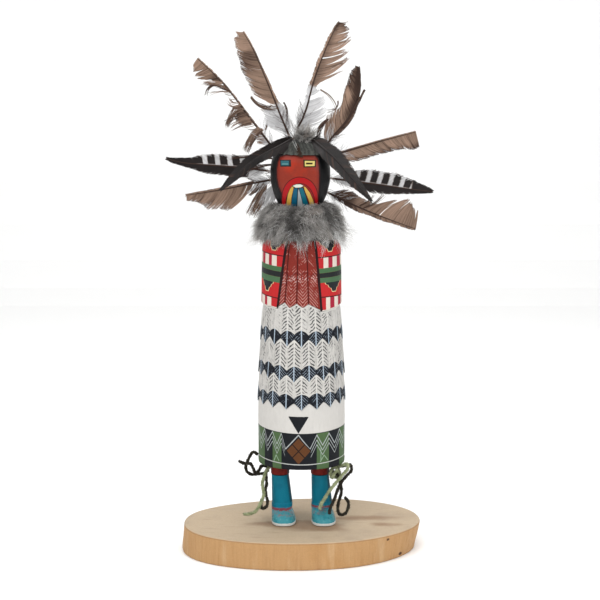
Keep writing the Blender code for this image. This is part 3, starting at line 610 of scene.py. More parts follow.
def make_base():
    """An oval slice: rings of a wavy ellipse, leaning a little to one side, with softened
    edges."""
    columns = 360
    t = circle(columns)
    wave = 1 + 0.008 * np.sin(3 * t + 0.6) + 0.006 * np.sin(5 * t + 2.0)
    corner = np.linspace(0, np.pi / 2, 7)
    top = BASE_TOP - EDGE
    # rows: how far inward, how high and the share of the lean
    rows = [(EDGE * (1 - math.sin(a)), EDGE * (1 - math.cos(a)), 0.0) for a in corner]
    rows += [(0.0, z, (z - EDGE) / (top - EDGE)) for z in np.linspace(EDGE, top, 26)[1:]]
    rows += [(EDGE * (1 - math.cos(a)), BASE_TOP - EDGE * (1 - math.sin(a)), 1.0)
             for a in corner[1:]]
    rows += [(i, BASE_TOP, 1.0) for i in (3.0, 6.0, 12.0, 22.0, 34.0, 46.0)]
    inward, z, lean = (np.array(v)[:, None] for v in zip(*rows))
    rough = 0.10 * np.sin(37 * t + 3 * np.sin(5 * t)) * np.sin(z * 0.3 + 1)
    rough = np.where(inward > 0.5, 0.0, rough) - 0.12
    s, c = np.sin(t), np.cos(t)
    left = np.clip(-c, 0, 1) ** 2
    wide = HALF_WIDTH * wave + 3.4 * left - inward + rough
    deep = np.maximum(HALF_DEPTH * wave - inward + rough, 2.0)
    x0 = wide * np.sign(c) * np.abs(c) ** BLUNT
    y0 = deep * np.sign(s) * np.abs(s) ** BLUNT
    y0 = y0 * (1 - 0.09 * left ** 0.5 * (s > 0) * np.abs(s))
    x = x0 * math.cos(SLICE_TURN) - y0 * math.sin(SLICE_TURN) + LEAN * lean
    x = x - 2.2 * (1 - lean) * np.clip(c, 0, 1) ** 2
    y = x0 * math.sin(SLICE_TURN) + y0 * math.cos(SLICE_TURN)
    z = np.where(inward >= 3, z + 0.05 * np.sin(x * 0.31) * np.sin(y * 0.22), z + 0 * t)
    points = np.stack([x, y, z], -1).reshape(-1, 3)
    points = np.vstack([points, (0, 0, 0), (LEAN, 0, BASE_TOP)])
    up = np.concatenate([np.repeat([r[1] for r in rows], columns), [0, BASE_TOP]])
    px, py, pz = points.T
    top_patch = sum(np.exp(-((px - x0) / wide) ** 2 - ((py - y0) / long) ** 2)
                for x0, y0, wide, long in TOP_PATCHES)
    top = np.where(up > BASE_TOP - 0.05, 1.0, np.clip((up - top) / EDGE, 0, 1) ** 1.5)
    knot = np.max([np.where(py * side > 0, radius - np.hypot(px - x0, pz - z0), -9.0)
                   for x0, z0, radius, side in KNOTS], axis=0)
    faces = closed_faces(len(rows), columns)
    piece("wood_slice", points, faces, slice_wood(), ["base"],
          {"top": top, "rise": up, "top_patch": top_patch, "knot": knot})


make_base()


# ---- carved figure

# half width of the robe at heights
ROBE = [
    (38.2, 30.3), (47.2, 30.9), (77.2, 31.0), (95.2, 30.6), (116.2, 29.5),
    (138.2, 28.4), (153.2, 27.5), (158.2, 26.9), (180.2, 26.6), (196.2, 26.2),
    (202.2, 25.6), (206.2, 22.6), (209.2, 17.5),
]
# degrees round the robe as millimetres along it, at the skirt, the sleeves and the back
SKIRT_DEGREE, SLEEVE_DEGREE, BACK_DEGREE = 0.54, 0.46, 0.47
FEATHERS = 18  # carved feathers in a row
PITCH = 20  # degrees from one carved feather to the next
HEM, RIM_TOP, SKIRT_TOP, CHEST_TOP, ROBE_TOP = 43.2, 47.0, 69.2, 202.2, 209.2
GIRTH = 0.93  # mean radius of the flattened robe for its half width
SLEEVE_FOOT, SLEEVE_RISE, SLEEVE_PROUD = 157.2, 43.0, 1.15
SLEEVE_BACK = 118  # angle of the sleeves' rear edges
# feather edges: height of the tips, rise to the valleys, angle of the first tip, row number
EDGES = [(86.1, 4.6, 0.0, 0), (105.9, 4.8, 10.0, 1), (130.4, 5.0, 0.0, 2), (157.6, 3.2, 0.0, 3)]
# lower edge of the chest and of its upper layer: angle and height
CHEST_EDGE = [(-37, 157.9), (-25.5, 161.0), (-17.5, 157.4), (-7.1, 160.4), (2.0, 157.6),
              (10.6, 160.0), (28, 156.0)]
CHEST_LAYER = [(-37, 179.5), (-26, 182.4), (-16.5, 179.0), (-9, 182.0), (-1.0, 180.6),
               (5.0, 182.8), (11.5, 179.2), (19, 181.8), (28, 179.4)]
CHEST_GROOVES = (-25.5, -7.1, 10.6)
BACK_FROM = 117  # angle behind which the sleeves end and the back's feathers start
COLUMNS = 540
THETA = np.arange(COLUMNS) * 360 / COLUMNS
SIGNED = np.where(THETA > 180, THETA - 360, THETA)


def feather_angle(first):
    """Angle from the shaft of the nearest carved feather."""
    return (THETA - first + PITCH / 2) % PITCH - PITCH / 2


def edge_line(row):
    """Height of a carved row's lower edge: low at each shaft and high between two."""
    tip, rise, first, index = EDGES[row]
    share = np.abs(feather_angle(first)) / (PITCH / 2)
    feather = (THETA - first) / PITCH
    left = np.floor(feather)
    mix = feather - left
    low, high = (np.sin(12.9898 * (side % FEATHERS) + 78.233 * index)
                 for side in (left, left + 1))
    wobble = 0.45 * ((1 - mix) * low + mix * high)
    return tip + rise * (1 - (1 - share) ** 1.25) + wobble + 2.2 * np.sin(THETA * DEG) ** 2


def sleeve_edges(z):
    """Angles of the two sleeves' front edges at a height."""
    t = np.clip((z - SLEEVE_FOOT) / SLEEVE_RISE, 0, 1)
    return -36.5 + 13.0 * t, 29.5 - 8.0 * t


def robe_points(z, extra):
    """The robe: at an angle from the front it stands its half width at that height plus
    the extra."""
    radius = lookup(ROBE, z) + extra
    t = THETA * DEG
    return standing(radius * np.sin(t), -DEPTH_RATIO * radius * np.cos(t), z)


def to_segment(x, y, a, b):
    """Distance from points to a straight line between two ends."""
    ax, ay, bx, by = a[0], a[1], b[0], b[1]
    dx, dy = bx - ax, by - ay
    t = np.clip(((x - ax) * dx + (y - ay) * dy) / (dx * dx + dy * dy), 0, 1)
    return np.hypot(x - ax - t * dx, y - ay - t * dy)


def inside(x, y, corners):
    """Signed distance to a polygon: the least distance to its sides, plus inside and minus
    outside."""
    corners = np.asarray(corners, float)
    after = np.roll(corners, -1, axis=0)
    near = np.min([to_segment(x, y, a, b) for a, b in zip(corners, after)], axis=0)
    odd = np.zeros(np.shape(x), bool)
    for (ax, ay), (bx, by) in zip(corners, after):
        if ay != by:
            odd ^= ((ay > y) != (by > y)) & (x < (bx - ax) * (y - ay) / (by - ay) + ax)
    return np.where(odd, near, -near)


PAINT_BLACK = rgb(22, 25, 31)
PAINT_WHITE = rgb(223, 220, 215)
PAINT_GREEN = rgb(82, 108, 70)


def paint_surface(finish, strength=1.0):
    """Brush marks, pores and slight wear of matt paint on carved wood."""
    finish.shade(finish.noise(0.06, 3), 0.05 * strength)
    finish.shade(finish.noise(0.7, 4, (1, 1, 0.25)), 0.06 * strength)
    finish.rough(finish.noise(0.3, 3), 0.55, 0.08)
    return finish.noise(0.9, 4, (1, 1, 0.25)) * 0.6 + finish.noise(4.0, 2) * 0.3


# the zigzag's corners round the hem, and where the green columns stand
ZIG = [(-180, 68.4), (-170, 60), (-159.5, 68.4), (-149, 60), (-139, 68.4), (-128.5, 60),
       (-118.5, 68.4), (-108, 60), (-98, 68.4), (-87.5, 60), (-78, 68.4), (-67.5, 60),
       (-57.3, 68.6), (-50.6, 60.6), (-41.0, 68.5), (-33.8, 60.3), (-27.1, 68.6),
       (-21.2, 57.8), (-3.9, 68.3), (11.0, 58.0), (20.3, 67.9), (28.6, 60.0), (38.6, 67.6),
       (49.0, 59.4), (60, 68), (70, 60), (80, 68.4), (90, 60), (100, 68.4), (110, 60),
       (120, 68.4), (130, 60), (140, 68.4), (150, 60), (160, 68.4), (170, 60), (180, 68.4)]
GREENS = [(-92, -57.3), (-41.0, -27.1), (20.3, 38.6), (60, 80), (100, 120), (140, 160),
          (-118.5, -98), (-159.5, -139)]
# short pale strokes at the foot of the two green columns in front: angle and height of each end
STROKES = [(-38.7, 48.0, -35.2, 52.4), (-35.2, 52.4, -31.0, 48.7), (25.5, 48.5, 30.9, 52.7),
           (30.9, 52.7, 36.8, 48.6), (26.1, 58.0, 26.2, 49.0)]


def skirt_paint():
    """White over a black and green band, with its zigzags, strokes, lozenge and wedge."""
    f = Finish("skirt_paint", PAINT_WHITE)
    ragged = f.noise(1.1, 3) * 0.09
    height = f.field("height")
    f.lay(height.wave(1.9).between(0.9, 0.95) * 0.06, rgb(180, 172, 160))
    f.lay((f.field("wedge") + ragged).edge(0.12), PAINT_BLACK)
    f.lay((height - ragged).under(69.3, 0.12), PAINT_BLACK)
    band = height.under(68.9)
    leaf = (f.field("green") + ragged).edge(0.15)
    f.lay(band.lower(leaf), PAINT_GREEN)
    zig = f.field("zig")
    for drop, thick, outer in ((0.0, 0.52, False), (3.5, 0.42, True), (6.8, 0.36, True)):
        line = (zig + ragged * 2.0).away(-drop, thick).edge(0.22)
        if outer:
            line = line.lower(f.field("nest"))
        f.lay(line.lower(band).lower(height.above(47.6, 0.2)), rgb(188, 194, 194))
    f.lay((f.field("strokes") - ragged).under(0.30, 0.12) * 0.85, rgb(158, 186, 156))
    a, b = f.field("slant_a").size(), f.field("slant_b").size()
    lozenge = a.higher(b)
    f.lay((lozenge - ragged).under(6.4), rgb(26, 24, 26))
    f.lay((lozenge - ragged).under(5.75, 0.12), rgb(102, 62, 33))
    cross = (a.lower(b) - ragged).under(0.38, 0.12)
    f.lay(cross.lower((-lozenge + 5.9).between(0, 0.2)), rgb(42, 28, 20))
    f.lay((height + ragged).away(47.15, 0.28).edge(0.14), rgb(206, 208, 204))
    f.relief(paint_surface(f), 0.10)
    return f.done()


def make_skirt():
    """The painted band and the white band under the carved feathers, and the flat underside."""
    low = edge_line(0)
    rows = [(np.full(COLUMNS, HEM), -8.0), (np.full(COLUMNS, HEM), -1.0),
            (np.full(COLUMNS, HEM + 0.15), -0.45), (np.full(COLUMNS, HEM + 0.6), 0.05)]
    rows += [(np.full(COLUMNS, z), 0.1) for z in np.linspace(HEM + 1, RIM_TOP, 12)]
    rows += [(np.full(COLUMNS, z), -0.1) for z in np.linspace(RIM_TOP + 0.2, SKIRT_TOP, 76)]
    for t in np.linspace(0, 1, 26)[1:]:
        rows.append((SKIRT_TOP + (low - 0.35 - SKIRT_TOP) * t, -0.1 + 0.1 * t))
    points = np.concatenate([robe_points(z, e) for z, e in rows])
    z = np.concatenate([r[0] for r in rows])
    angle = np.tile(SIGNED, len(rows))
    n = len(points)
    points = np.vstack([points, (0, 0, HEM + STAND)])
    faces = [grid_faces(len(rows), COLUMNS), fan(n, np.arange(COLUMNS), True)]
    across = SKIRT_DEGREE
    z = z - 2.3 * np.sin(angle * DEG) ** 2
    zig = z - np.interp(angle, *np.array(ZIG).T)
    green = np.max([np.minimum(angle - a, b - angle) for a, b in GREENS], axis=0) * across
    da, dz = (angle + 3.9) / 17.9, (z - 56.8) / 10.6
    strokes = np.min([to_segment(angle * across, z, (a * across, low), (b * across, high))
                      for a, low, b, high in STROKES], axis=0)
    wedge = np.minimum(81.4 - z, ((z - 69.4) / 12 * 13.6 - np.abs(angle + 4.0)) * across)
    wedge = np.where(z > 68, wedge, -3.0)
    fields = {"height": z, "zig": zig, "green": green, "slant_a": (da + dz) * 6.6,
              "slant_b": (da - dz) * 6.6, "wedge": wedge,
              "nest": np.where((angle > -22.6) & (angle < 12.4), 0.0, 1.0),
              "strokes": strokes}
    fields = {k: np.append(v, v[0]) for k, v in fields.items()}
    piece("painted_skirt", points, faces, skirt_paint(), ["figure"], fields)


def feather_paint():
    """White feathers with grey strokes along their barbs, black tips and pale shafts."""
    f = Finish("feather_paint", PAINT_WHITE)
    ragged = f.noise(0.9, 3) * 0.16
    ax, up, dark = f.field("ax"), f.field("up"), f.field("dark") + ragged
    below = f.field("below")
    phase = up + ax + f.noise(0.30, 2) + f.field("shift")
    f.lay((-(phase.wave(1.3)) + 0.30).between(-0.1, 0.3) * 0.35, rgb(158, 156, 152))
    # grey smears over the white, laid much heavier round the sides and back as painted shade where
    # the robe turns from the light
    smear_and_side_shade = f.noise(0.75, 4, (1, 1, 0.22)).between(-0.2, 0.9)
    f.lay(smear_and_side_shade.lower((-f.field("front") + 0.75).between(-0.1, 0.5)) * 0.75, rgb(132, 132, 130))
    f.lay(smear_and_side_shade * 0.25, rgb(150, 148, 144))
    stroke = (-(phase.wave(2.6)) + 0.56 + f.noise(0.8, 2) * 0.36).between(-0.16, 0.24)
    reach = f.noise(0.45, 2) * 1.2
    faded = f.noise(0.25, 2) * 0.8 + f.field("front") + f.field("strong") - 0.35
    for limit in ((-ax + 3.9 + reach).between(-0.3, 0.5),
                  (ax - 0.55 + reach * 0.5).between(-0.15, 0.2),
                  (-dark - 0.85).between(-0.1, 0.3), faded.between(-0.1, 0.9)):
        stroke = stroke.lower(limit)
    f.lay(stroke * 0.93, rgb(48, 51, 52))
    f.lay((-ax + 0.30).between(-0.1, 0.2) * 0.6, rgb(238, 236, 230))
    f.lay(below.away(0.75, 0.65).edge(0.2), rgb(236, 234, 228))
    f.lay(dark.edge(0.14), rgb(20, 24, 33))
    fine = (-((up + ax * 1.15 + f.noise(0.5, 2) * 0.5).wave(2.1)) + 0.22).between(-0.12, 0.14)
    for limit in ((-ax + 4.3 + reach).between(-0.2, 0.5), ax.above(0.3),
                  (f.noise(0.4, 2) * 1.3 + f.field("strong")).between(-0.2, 0.7),
                  (dark - 0.4).between(0.0, 0.3)):
        fine = fine.lower(limit)
    f.lay(fine * 0.9, rgb(170, 184, 198))
    shaft = (ax - ragged * 0.4).under(0.34)
    f.lay(shaft.lower(dark.above(-0.3)), rgb(186, 202, 218))
    marks = paint_surface(f)
    carved = phase.wave(2.55).between(0.0, 0.7) * 0.8
    f.relief(marks * 0.5 + carved, 0.16)
    return f.done()


def feather_rows():
    """Three rows of carved feathers: each stands proud at its lower edge, thins upward, is crowned
    across, ridged along its shaft and grooved between neighbours."""
    points, marks, levels = [], [], 54
    for row in range(3):
        low = edge_line(row)
        high = chest_low() if row == 2 else edge_line(row + 1)
        _, rise, first, index = EDGES[row]
        local = feather_angle(first)
        share = np.abs(local) / (PITCH / 2)
        for i, t in enumerate(np.linspace(0, 1, levels)):
            z = low + (high - 0.35 - low) * t
            radius = lookup(ROBE, z)
            ax = np.abs(local) * DEG * radius * GIRTH
            width = PITCH / 2 * DEG * radius * GIRTH
            crown = 0.26 * np.cos(share * np.pi / 2) - 0.16
            groove = -0.40 * np.exp(-((width - ax) / 0.5) ** 2)
            ridge = 0.16 * np.exp(-(ax / 0.34) ** 2)
            fade = ease(np.array(t), 1.0, 0.85)
            lip = 0.75 * (1 - t) if i else 0.55
            extra = lip + (crown + groove + ridge) * (0.35 + 0.65 * fade)
            points.append(robe_points(z, extra))
            up = z - (low - rise * (1 - (1 - share) ** 1.25))
            top = 10.9 - 2.9 * share ** 2 + 0.5 * np.sin(7 * THETA * DEG + index)
            which = np.round((THETA - first) / PITCH) * 7.31 + index * 3.7
            marks.append({
                "ax": ax, "up": up, "dark": top - up, "below": high - z,
                "shift": 1.3 * np.sin(which * 2.1),
                "strong": 0.35 - 0.3 * (row == 2) + 0.5 * np.sin(which * 5.7),
                "front": 1.1 * ease(np.abs(SIGNED), 75.0, 25.0) - 0.1})
    grid = np.concatenate(points)
    fields = {key: np.concatenate([m[key] for m in marks]) for key in marks[0]}
    faces = grid_faces(3 * levels, COLUMNS)
    piece("carved_feathers", grid, faces, feather_paint(), ["figure"], fields)


def chest_low():
    """Lower edge of the chest and sleeves round the whole figure."""
    base = edge_line(3)
    front = np.interp(SIGNED, *np.array(CHEST_EDGE).T)
    droop = np.interp(SIGNED, (-80, -37, 28, 31, 80), (0.6, -0.9, -3.3, -3.1, 0.2))
    scallop = 157.4 + 0.4 * np.abs(np.sin(SIGNED * DEG * 9)) + droop
    line = np.where((SIGNED < -36) | (SIGNED > 28), scallop, front)
    return np.where(np.abs(SIGNED) > BACK_FROM, base, line)


# painted lines round the sleeves: heights of the thin ones, lower and upper edge of the bands
SLEEVE_LINES = {"thin_top": 194.2, "green": (183.2, 186.6), "black": (179.4, 183.2),
                "green_low": (175.3, 179.4), "thin_low": 164.6}
# from which angle to which the sleeves' two red bands are white
WHITE_STRIPES = {
    "upper": ((-64.5, -54.5), (-47.5, -38.0), (33.0, 41.7), (50.6, 61.5), (75, 84), (95, 103),
              (-84, -75), (-103, -95)),
    "lower": ((-77, -64.5), (-57.5, -48.0), (36.9, 44.7), (54.1, 64.1), (76, 85), (95, 104),
              (-98, -89)),
}
# stepped triangles on the sleeves: angle, height of the tip and of the foot, half width
STEPS = ((-58.5, 168.4, 177.0, 15.5), (53.6, 168.2, 177.0, 19.0), (-97.0, 168.4, 177.0, 15.0),
         (96.0, 168.2, 177.0, 15.0), (-44.0, 197.6, 205.0, 16.5), (45.8, 198.0, 205.0, 16.5),
         (-92.0, 196.6, 205.0, 16.5), (92.0, 196.6, 205.0, 16.5))


def chest_paint():
    """Red feathers with pale barbs, and the bands, stripes and steps of the sleeves."""
    f = Finish("chest_paint", rgb(150, 50, 38), 0.42)
    ragged = f.noise(0.9, 3) * 0.12
    height, groove, sleeve = f.field("height"), f.field("groove"), f.field("sleeve")
    f.lay(f.noise(0.10, 3).between(0.0, 1.4), rgb(158, 34, 24))
    f.lay((-f.noise(0.14, 3)).between(0.2, 1.5), rgb(116, 42, 38))
    slope = height + groove * 1.2 + f.noise(0.4, 2) * 0.4
    f.lay((-((slope + 1.0).wave(1.2)) + 0.28).between(-0.1, 0.2) * 0.4, rgb(92, 22, 22))
    barbs = (-(slope.wave(2.3)) + 0.36 + f.noise(0.9, 2) * 0.16).between(-0.14, 0.2)
    for limit in ((f.noise(0.3, 2) + (-height + 190.0) * 0.022).between(0.0, 0.6),
                  (-groove + 6.4 + f.noise(0.5, 2) * 1.6).between(-0.2, 0.3),
                  (groove - 0.45).between(0.0, 0.2)):
        barbs = barbs.lower(limit)
    f.lay(barbs * 0.75, rgb(232, 180, 170))
    marks = (height + f.noise(0.6, 2) * 1.2).away(177.0, 2.6).between(0.0, 1.0)
    f.lay(marks.lower((-(f.spots(0.75)) + 0.42).between(0.0, 0.16)) * 0.8, rgb(232, 200, 194))
    thin = (-((height + groove * 1.1 + 0.6).wave(0.9)) + 0.14).between(-0.1, 0.1)
    f.lay(thin * 0.35, rgb(120, 40, 38))
    # painted shade along the bottom of the carved grooves
    f.lay((-groove + 0.34).between(-0.16, 0.22) * 0.9, rgb(58, 14, 16))
    # painted shade in a band just under the upper layer's lip
    f.lay(f.field("edge_l").away(0.5, 0.5).between(-0.1, 0.3) * 0.6, rgb(96, 32, 32))
    # sleeves
    on = sleeve.above(0.55, 0.08)
    f.lay(on, rgb(204, 42, 44))
    f.lay(on.lower(f.noise(0.5, 3, (1, 1, 0.3)).between(0.2, 1.6)), rgb(182, 34, 44))
    height = f.field("band")
    in_upper = on.lower(height.above(186.4)).lower(height.under(193.9))
    in_lower = on.lower(height.under(164.3))
    bands = in_upper.higher(in_lower)
    f.lay(bands, rgb(178, 38, 62))
    f.lay(bands.lower((f.field("inner") + ragged).edge()), rgb(200, 40, 46))
    for band, key in ((in_upper, "upper"), (in_lower, "lower")):
        f.lay(band.lower((f.field(key) + ragged).edge()), rgb(240, 228, 214))
    steps = f.field("steps") + ragged * 0.6
    stair_on = on.lower(height.above(163.0).lower(height.under(178)).higher(height.above(195.2)))
    f.lay(stair_on.lower(steps.above(-0.55)), rgb(236, 214, 160))
    f.lay(stair_on.lower(steps.edge()), rgb(38, 40, 44))
    for name, colour in (("green", rgb(76, 114, 76)), ("black", rgb(36, 39, 40)),
                         ("green_low", rgb(80, 116, 82))):
        low, high = SLEEVE_LINES[name]
        stripe = (height + ragged).away((low + high) / 2, (high - low) / 2)
        f.lay(on.lower(stripe.edge()), colour)
    for name in ("thin_top", "thin_low"):
        stripe = (height + ragged).away(SLEEVE_LINES[name], 0.36)
        f.lay(on.lower(stripe.edge()), rgb(70, 20, 22))
    # painted shade: a dark line over the step between the chest and the raised sleeves
    f.lay((sleeve.away(-0.15, 0.78) + ragged).edge(0.12), rgb(40, 18, 20))
    hem = (f.field("below") - ragged * 2).under(0.75)
    f.lay(hem.lower(sleeve.above(0.4)), rgb(236, 226, 216))
    marks = paint_surface(f)
    f.relief(marks * 0.6 + (-(thin.lower((-sleeve).edge(0.2)))) * 0.6, 0.12)
    return f.done()


def make_chest():
    """Chest of long carved feathers between two raised sleeves: grooves between the feathers,
    one overlapping layer, and the sleeves standing proud behind a crisp edge."""
    low = chest_low()
    layer_front = np.interp(SIGNED, *np.array(CHEST_LAYER).T)
    back_layer = 179.8 + 3.4 * np.abs(feather_angle(0)) / (PITCH / 2)
    behind = np.abs(SIGNED) > BACK_FROM
    layer = np.where(behind, back_layer, layer_front)
    points = []
    fields = {k: [] for k in ("height", "angle", "groove", "sleeve", "edge_l", "below")}
    plan = [(low + (layer - 0.3 - low) * t, t, 0) for t in np.linspace(0, 1, 66)]
    plan += [(layer + (CHEST_TOP - layer) * t, t, 1) for t in np.linspace(0, 1, 66)]
    plan += [(np.full(COLUMNS, z), 1.0, 2) for z in (203.6, 205.0, 206.2, 207.6, 209.2)]
    for z, t, part in plan:
        left, right = sleeve_edges(z)
        arm = np.maximum(np.minimum(SIGNED - right, SLEEVE_BACK - SIGNED),
                         np.minimum(left - SIGNED, SIGNED + SLEEVE_BACK)) * SLEEVE_DEGREE
        sleeve = ease(arm, -0.35, 0.35)
        lip = (0.75 * (1 - t) if t else 0.6, 0.6 * (1 - t) + 0.05, 0.0)[part]
        drift = (z - 158) / SLEEVE_RISE
        grooves = [np.abs(SIGNED - g * (1 - 0.25 * drift)) for g in CHEST_GROOVES]
        back = np.abs(THETA % PITCH - PITCH / 2)
        far = np.where(behind, back, np.min(grooves, axis=0)) * BACK_DEGREE
        carve = -0.75 * np.exp(-(far / 0.55) ** 2) + 0.35 * ease(far, 0.3, 3.5)
        if part == 2:
            extra = np.clip(1.0 - 0.2 * (z - 202), 0, 1) * sleeve * 0.6
        else:
            cuff = ease(t if part == 0 else 1.0, 0.0, 0.04)
            proud = SLEEVE_PROUD * (0.6 + 0.4 * cuff) + 0.25
            extra = (1 - sleeve) * (lip + carve) + sleeve * proud
            extra = extra * ease(z, CHEST_TOP, 199.0)
        points.append(robe_points(z, extra))
        for key, value in zip(fields, (z, SIGNED, far, arm, layer - z, z - low)):
            fields[key].append(value)
    points = np.concatenate(points)
    n = len(points)
    points = np.vstack([points, (0, 0, ROBE_TOP + STAND)])
    faces = [grid_faces(len(plan), COLUMNS), fan(n, np.arange(n - COLUMNS, n))]
    fields = {k: np.concatenate(v) for k, v in fields.items()}
    z, a = fields["height"], fields["angle"]
    # the painted bands hang a little askew
    skew = np.interp(a, (-118, -80, -35, 28, 80, 118), (0, -1.0, 0.9, 2.2, 1.2, 0))
    z = z + np.where(a > 0, skew * (0.05 + 0.95 * ease(z, 168.0, 183.0)), skew)
    fields["band"] = z
    for key, stripes in WHITE_STRIPES.items():
        inward = np.max([np.minimum(a - p, q - a) for p, q in stripes], axis=0)
        fields[key] = inward * SLEEVE_DEGREE
    # the stripe next to the chest stays as red as the sleeve
    inner = np.where(z > 175, np.where(a < 0, a + 38.0, 33.0 - a),
                     np.where(a < 0, a + 48.0, 36.9 - a))
    fields["inner"] = inner * SLEEVE_DEGREE
    steps = []
    for centre, tip_z, base_z, half in STEPS:
        share = (z - tip_z) / (base_z - tip_z)
        stair = np.floor(np.clip(share, 0, 0.999) * 3.2) / 3.2 + 0.42
        width = half * np.clip(0.5 * share + 0.5 * stair, 0.06, 1.3)
        steps.append(np.minimum((width - np.abs(a - centre)) * SLEEVE_DEGREE,
                                np.minimum(z - tip_z, base_z + 2 - z)))
    fields["steps"] = np.max(steps, axis=0)
    fields = {k: np.append(v, v[-1]) for k, v in fields.items()}
    piece("chest_and_sleeves", points, faces, chest_paint(), ["figure"], fields)


make_skirt()
feather_rows()
make_chest()


# ---- mask head

HEAD_X, HEAD_TOP = -0.8, 272.7
HEAD_POWER = 2.9  # squareness of the head's rings
# half width of the head at heights
HEAD_ROWS = [
    (204.2, 11.0), (222.2, 11.0), (223.6, 13.2), (228.2, 15.6), (233.7, 18.3),
    (242.7, 20.6), (251.0, 20.9), (257.2, 20.2), (262.2, 18.3), (266.2, 15.2),
    (269.7, 10.6), (271.8, 5.4), (272.6, 1.6),
]
# outline of the sunk face
FACE = [
    (-2.5, 262.4), (6.0, 262.3), (9.6, 261.8), (11.6, 259.8), (12.4, 255.2),
    (12.8, 248.2), (12.6, 240.2), (12.0, 232.2), (11.2, 227.4), (5.0, 225.8),
    (-2.0, 225.4), (-8.0, 225.8), (-12.0, 228.2), (-13.8, 234.7), (-16.2, 240.2),
    (-17.4, 246.2), (-17.5, 252.2), (-16.6, 257.4), (-15.2, 261.0), (-11.0, 262.3),
]
# corners of the shapes painted on the mask
MASK_SHAPES = {
    "face": FACE,
    "left_eye": [(-14.9, 258.7), (-7.2, 258.8), (-6.9, 253.9), (-14.6, 253.8)],
    "left_eye_in": [(-14.2, 258.0), (-8.7, 257.9), (-8.5, 254.9), (-14.0, 254.8)],
    "left_slit": [(-13.4, 256.2), (-9.2, 256.2), (-9.2, 255.4), (-13.4, 255.4)],
    "right_eye": [(1.2, 258.7), (9.9, 258.5), (9.8, 253.6), (1.4, 253.5)],
    "right_eye_in": [(2.2, 257.9), (9.1, 257.8), (9.0, 254.4), (2.3, 254.3)],
    "right_slit": [(3.2, 256.7), (7.5, 256.6), (7.5, 255.6), (3.2, 255.6)],
    "cap": [(-6.1, 240.9), (-3.4, 241.9), (-0.6, 241.9), (1.3, 240.9), (-0.4, 239.9),
            (-3.9, 239.6)],
    "gold": [(-6.4, 240.6), (-5.4, 239.6), (-6.9, 233), (-7.5, 225), (-10.6, 225),
             (-10.2, 230), (-9.3, 235.0), (-7.9, 238.6)],
    "gold_right": [(1.4, 240.6), (2.7, 240.0), (5.6, 236.4), (7.9, 231.0), (9.2, 225),
                   (6.6, 225), (4.6, 232), (2.4, 237.2)],
    "blue": [(-5.2, 239.0), (-2.7, 239.4), (-3.2, 232), (-3.5, 225), (-7.1, 225),
             (-6.5, 232.0)],
    "blue_right": [(-1.6, 239.2), (0.9, 239.4), (3.0, 233.2), (5.6, 225), (1.8, 225),
                   (0.2, 231.5)],
    "wedge": [(-2.2, 238.4), (-1.8, 238.4), (0.2, 231), (1.2, 225), (-2.9, 225),
              (-2.6, 232)],
}
# the mouth's arches: height of the top, left and right foot, height where the round starts and
# power of its sine
MOUTH_ARCHES = {"arch": (246.8, -13.4, 11.2, 232.0, 0.92),
                "inner_arch": (242.5, -10.9, 9.3, 227.0, 0.95)}
# softness of their edges, where it isn't the usual one
MASK_SOFT = {"left_slit": 0.2, "right_eye_in": 0.14, "right_slit": 0.14}
# painted one over the other: shape, colour and how far it spreads
MASK_LAYERS = (
    ("arch", (84, 14, 14), 0.40), ("arch", (178, 16, 22), -0.15),
    ("inner_arch", (60, 16, 14), 0.25), ("inner_arch", (150, 16, 18), -0.2),
    ("gold", (40, 16, 16), 0.35), ("gold_right", (40, 16, 16), 0.35),
    ("blue", (16, 28, 26), 0.45), ("blue_right", (16, 28, 26), 0.45),
    ("gold", (218, 170, 76), 0.0), ("gold_right", (220, 176, 84), 0.0),
    ("blue", (10, 92, 122), 0.0), ("blue_right", (14, 104, 124), 0.0),
    ("wedge", (20, 34, 44), 0.3), ("wedge", (168, 176, 178), 0.0),
    ("cap", (44, 44, 36), 0.35), ("cap", (232, 236, 222), 0.0),
    ("left_eye", (26, 30, 32), -0.1), ("left_eye_in", (34, 98, 110), 0.0),
    ("left_slit", (96, 146, 146), 0.0), ("right_eye", (34, 24, 14), 0.0),
    ("right_eye_in", (226, 208, 122), 0.0), ("right_slit", (48, 30, 8), 0.1),
)


def squared(turn, power):
    """Points of a squared ring, 1 to each side: sine and cosine raised to 2 over the power."""
    s, c = np.sin(turn), np.cos(turn)
    return (np.sign(s) * np.abs(s) ** (2 / power), -np.sign(c) * np.abs(c) ** (2 / power))


def head_half(z):
    """Half width of the head at a height, smoothed a little across the table's corners."""
    return np.mean([lookup(HEAD_ROWS, z + d) for d in (-1.6, -0.8, 0.0, 0.8, 1.6)], axis=0)


def mouth_arch(top, left, right, base, bulge):
    """Outline of an arch: two straight feet and over them a half round, whose height is the
    sine raised to a power."""
    middle, wide = (left + right) / 2, (right - left) / 2
    line = [(middle - wide * math.cos(t), base + (top - base) * math.sin(t) ** bulge)
            for t in np.linspace(0, np.pi, 25)]
    return [(left - 0.3, 224.0)] + line + [(right + 0.5, 224.0)]


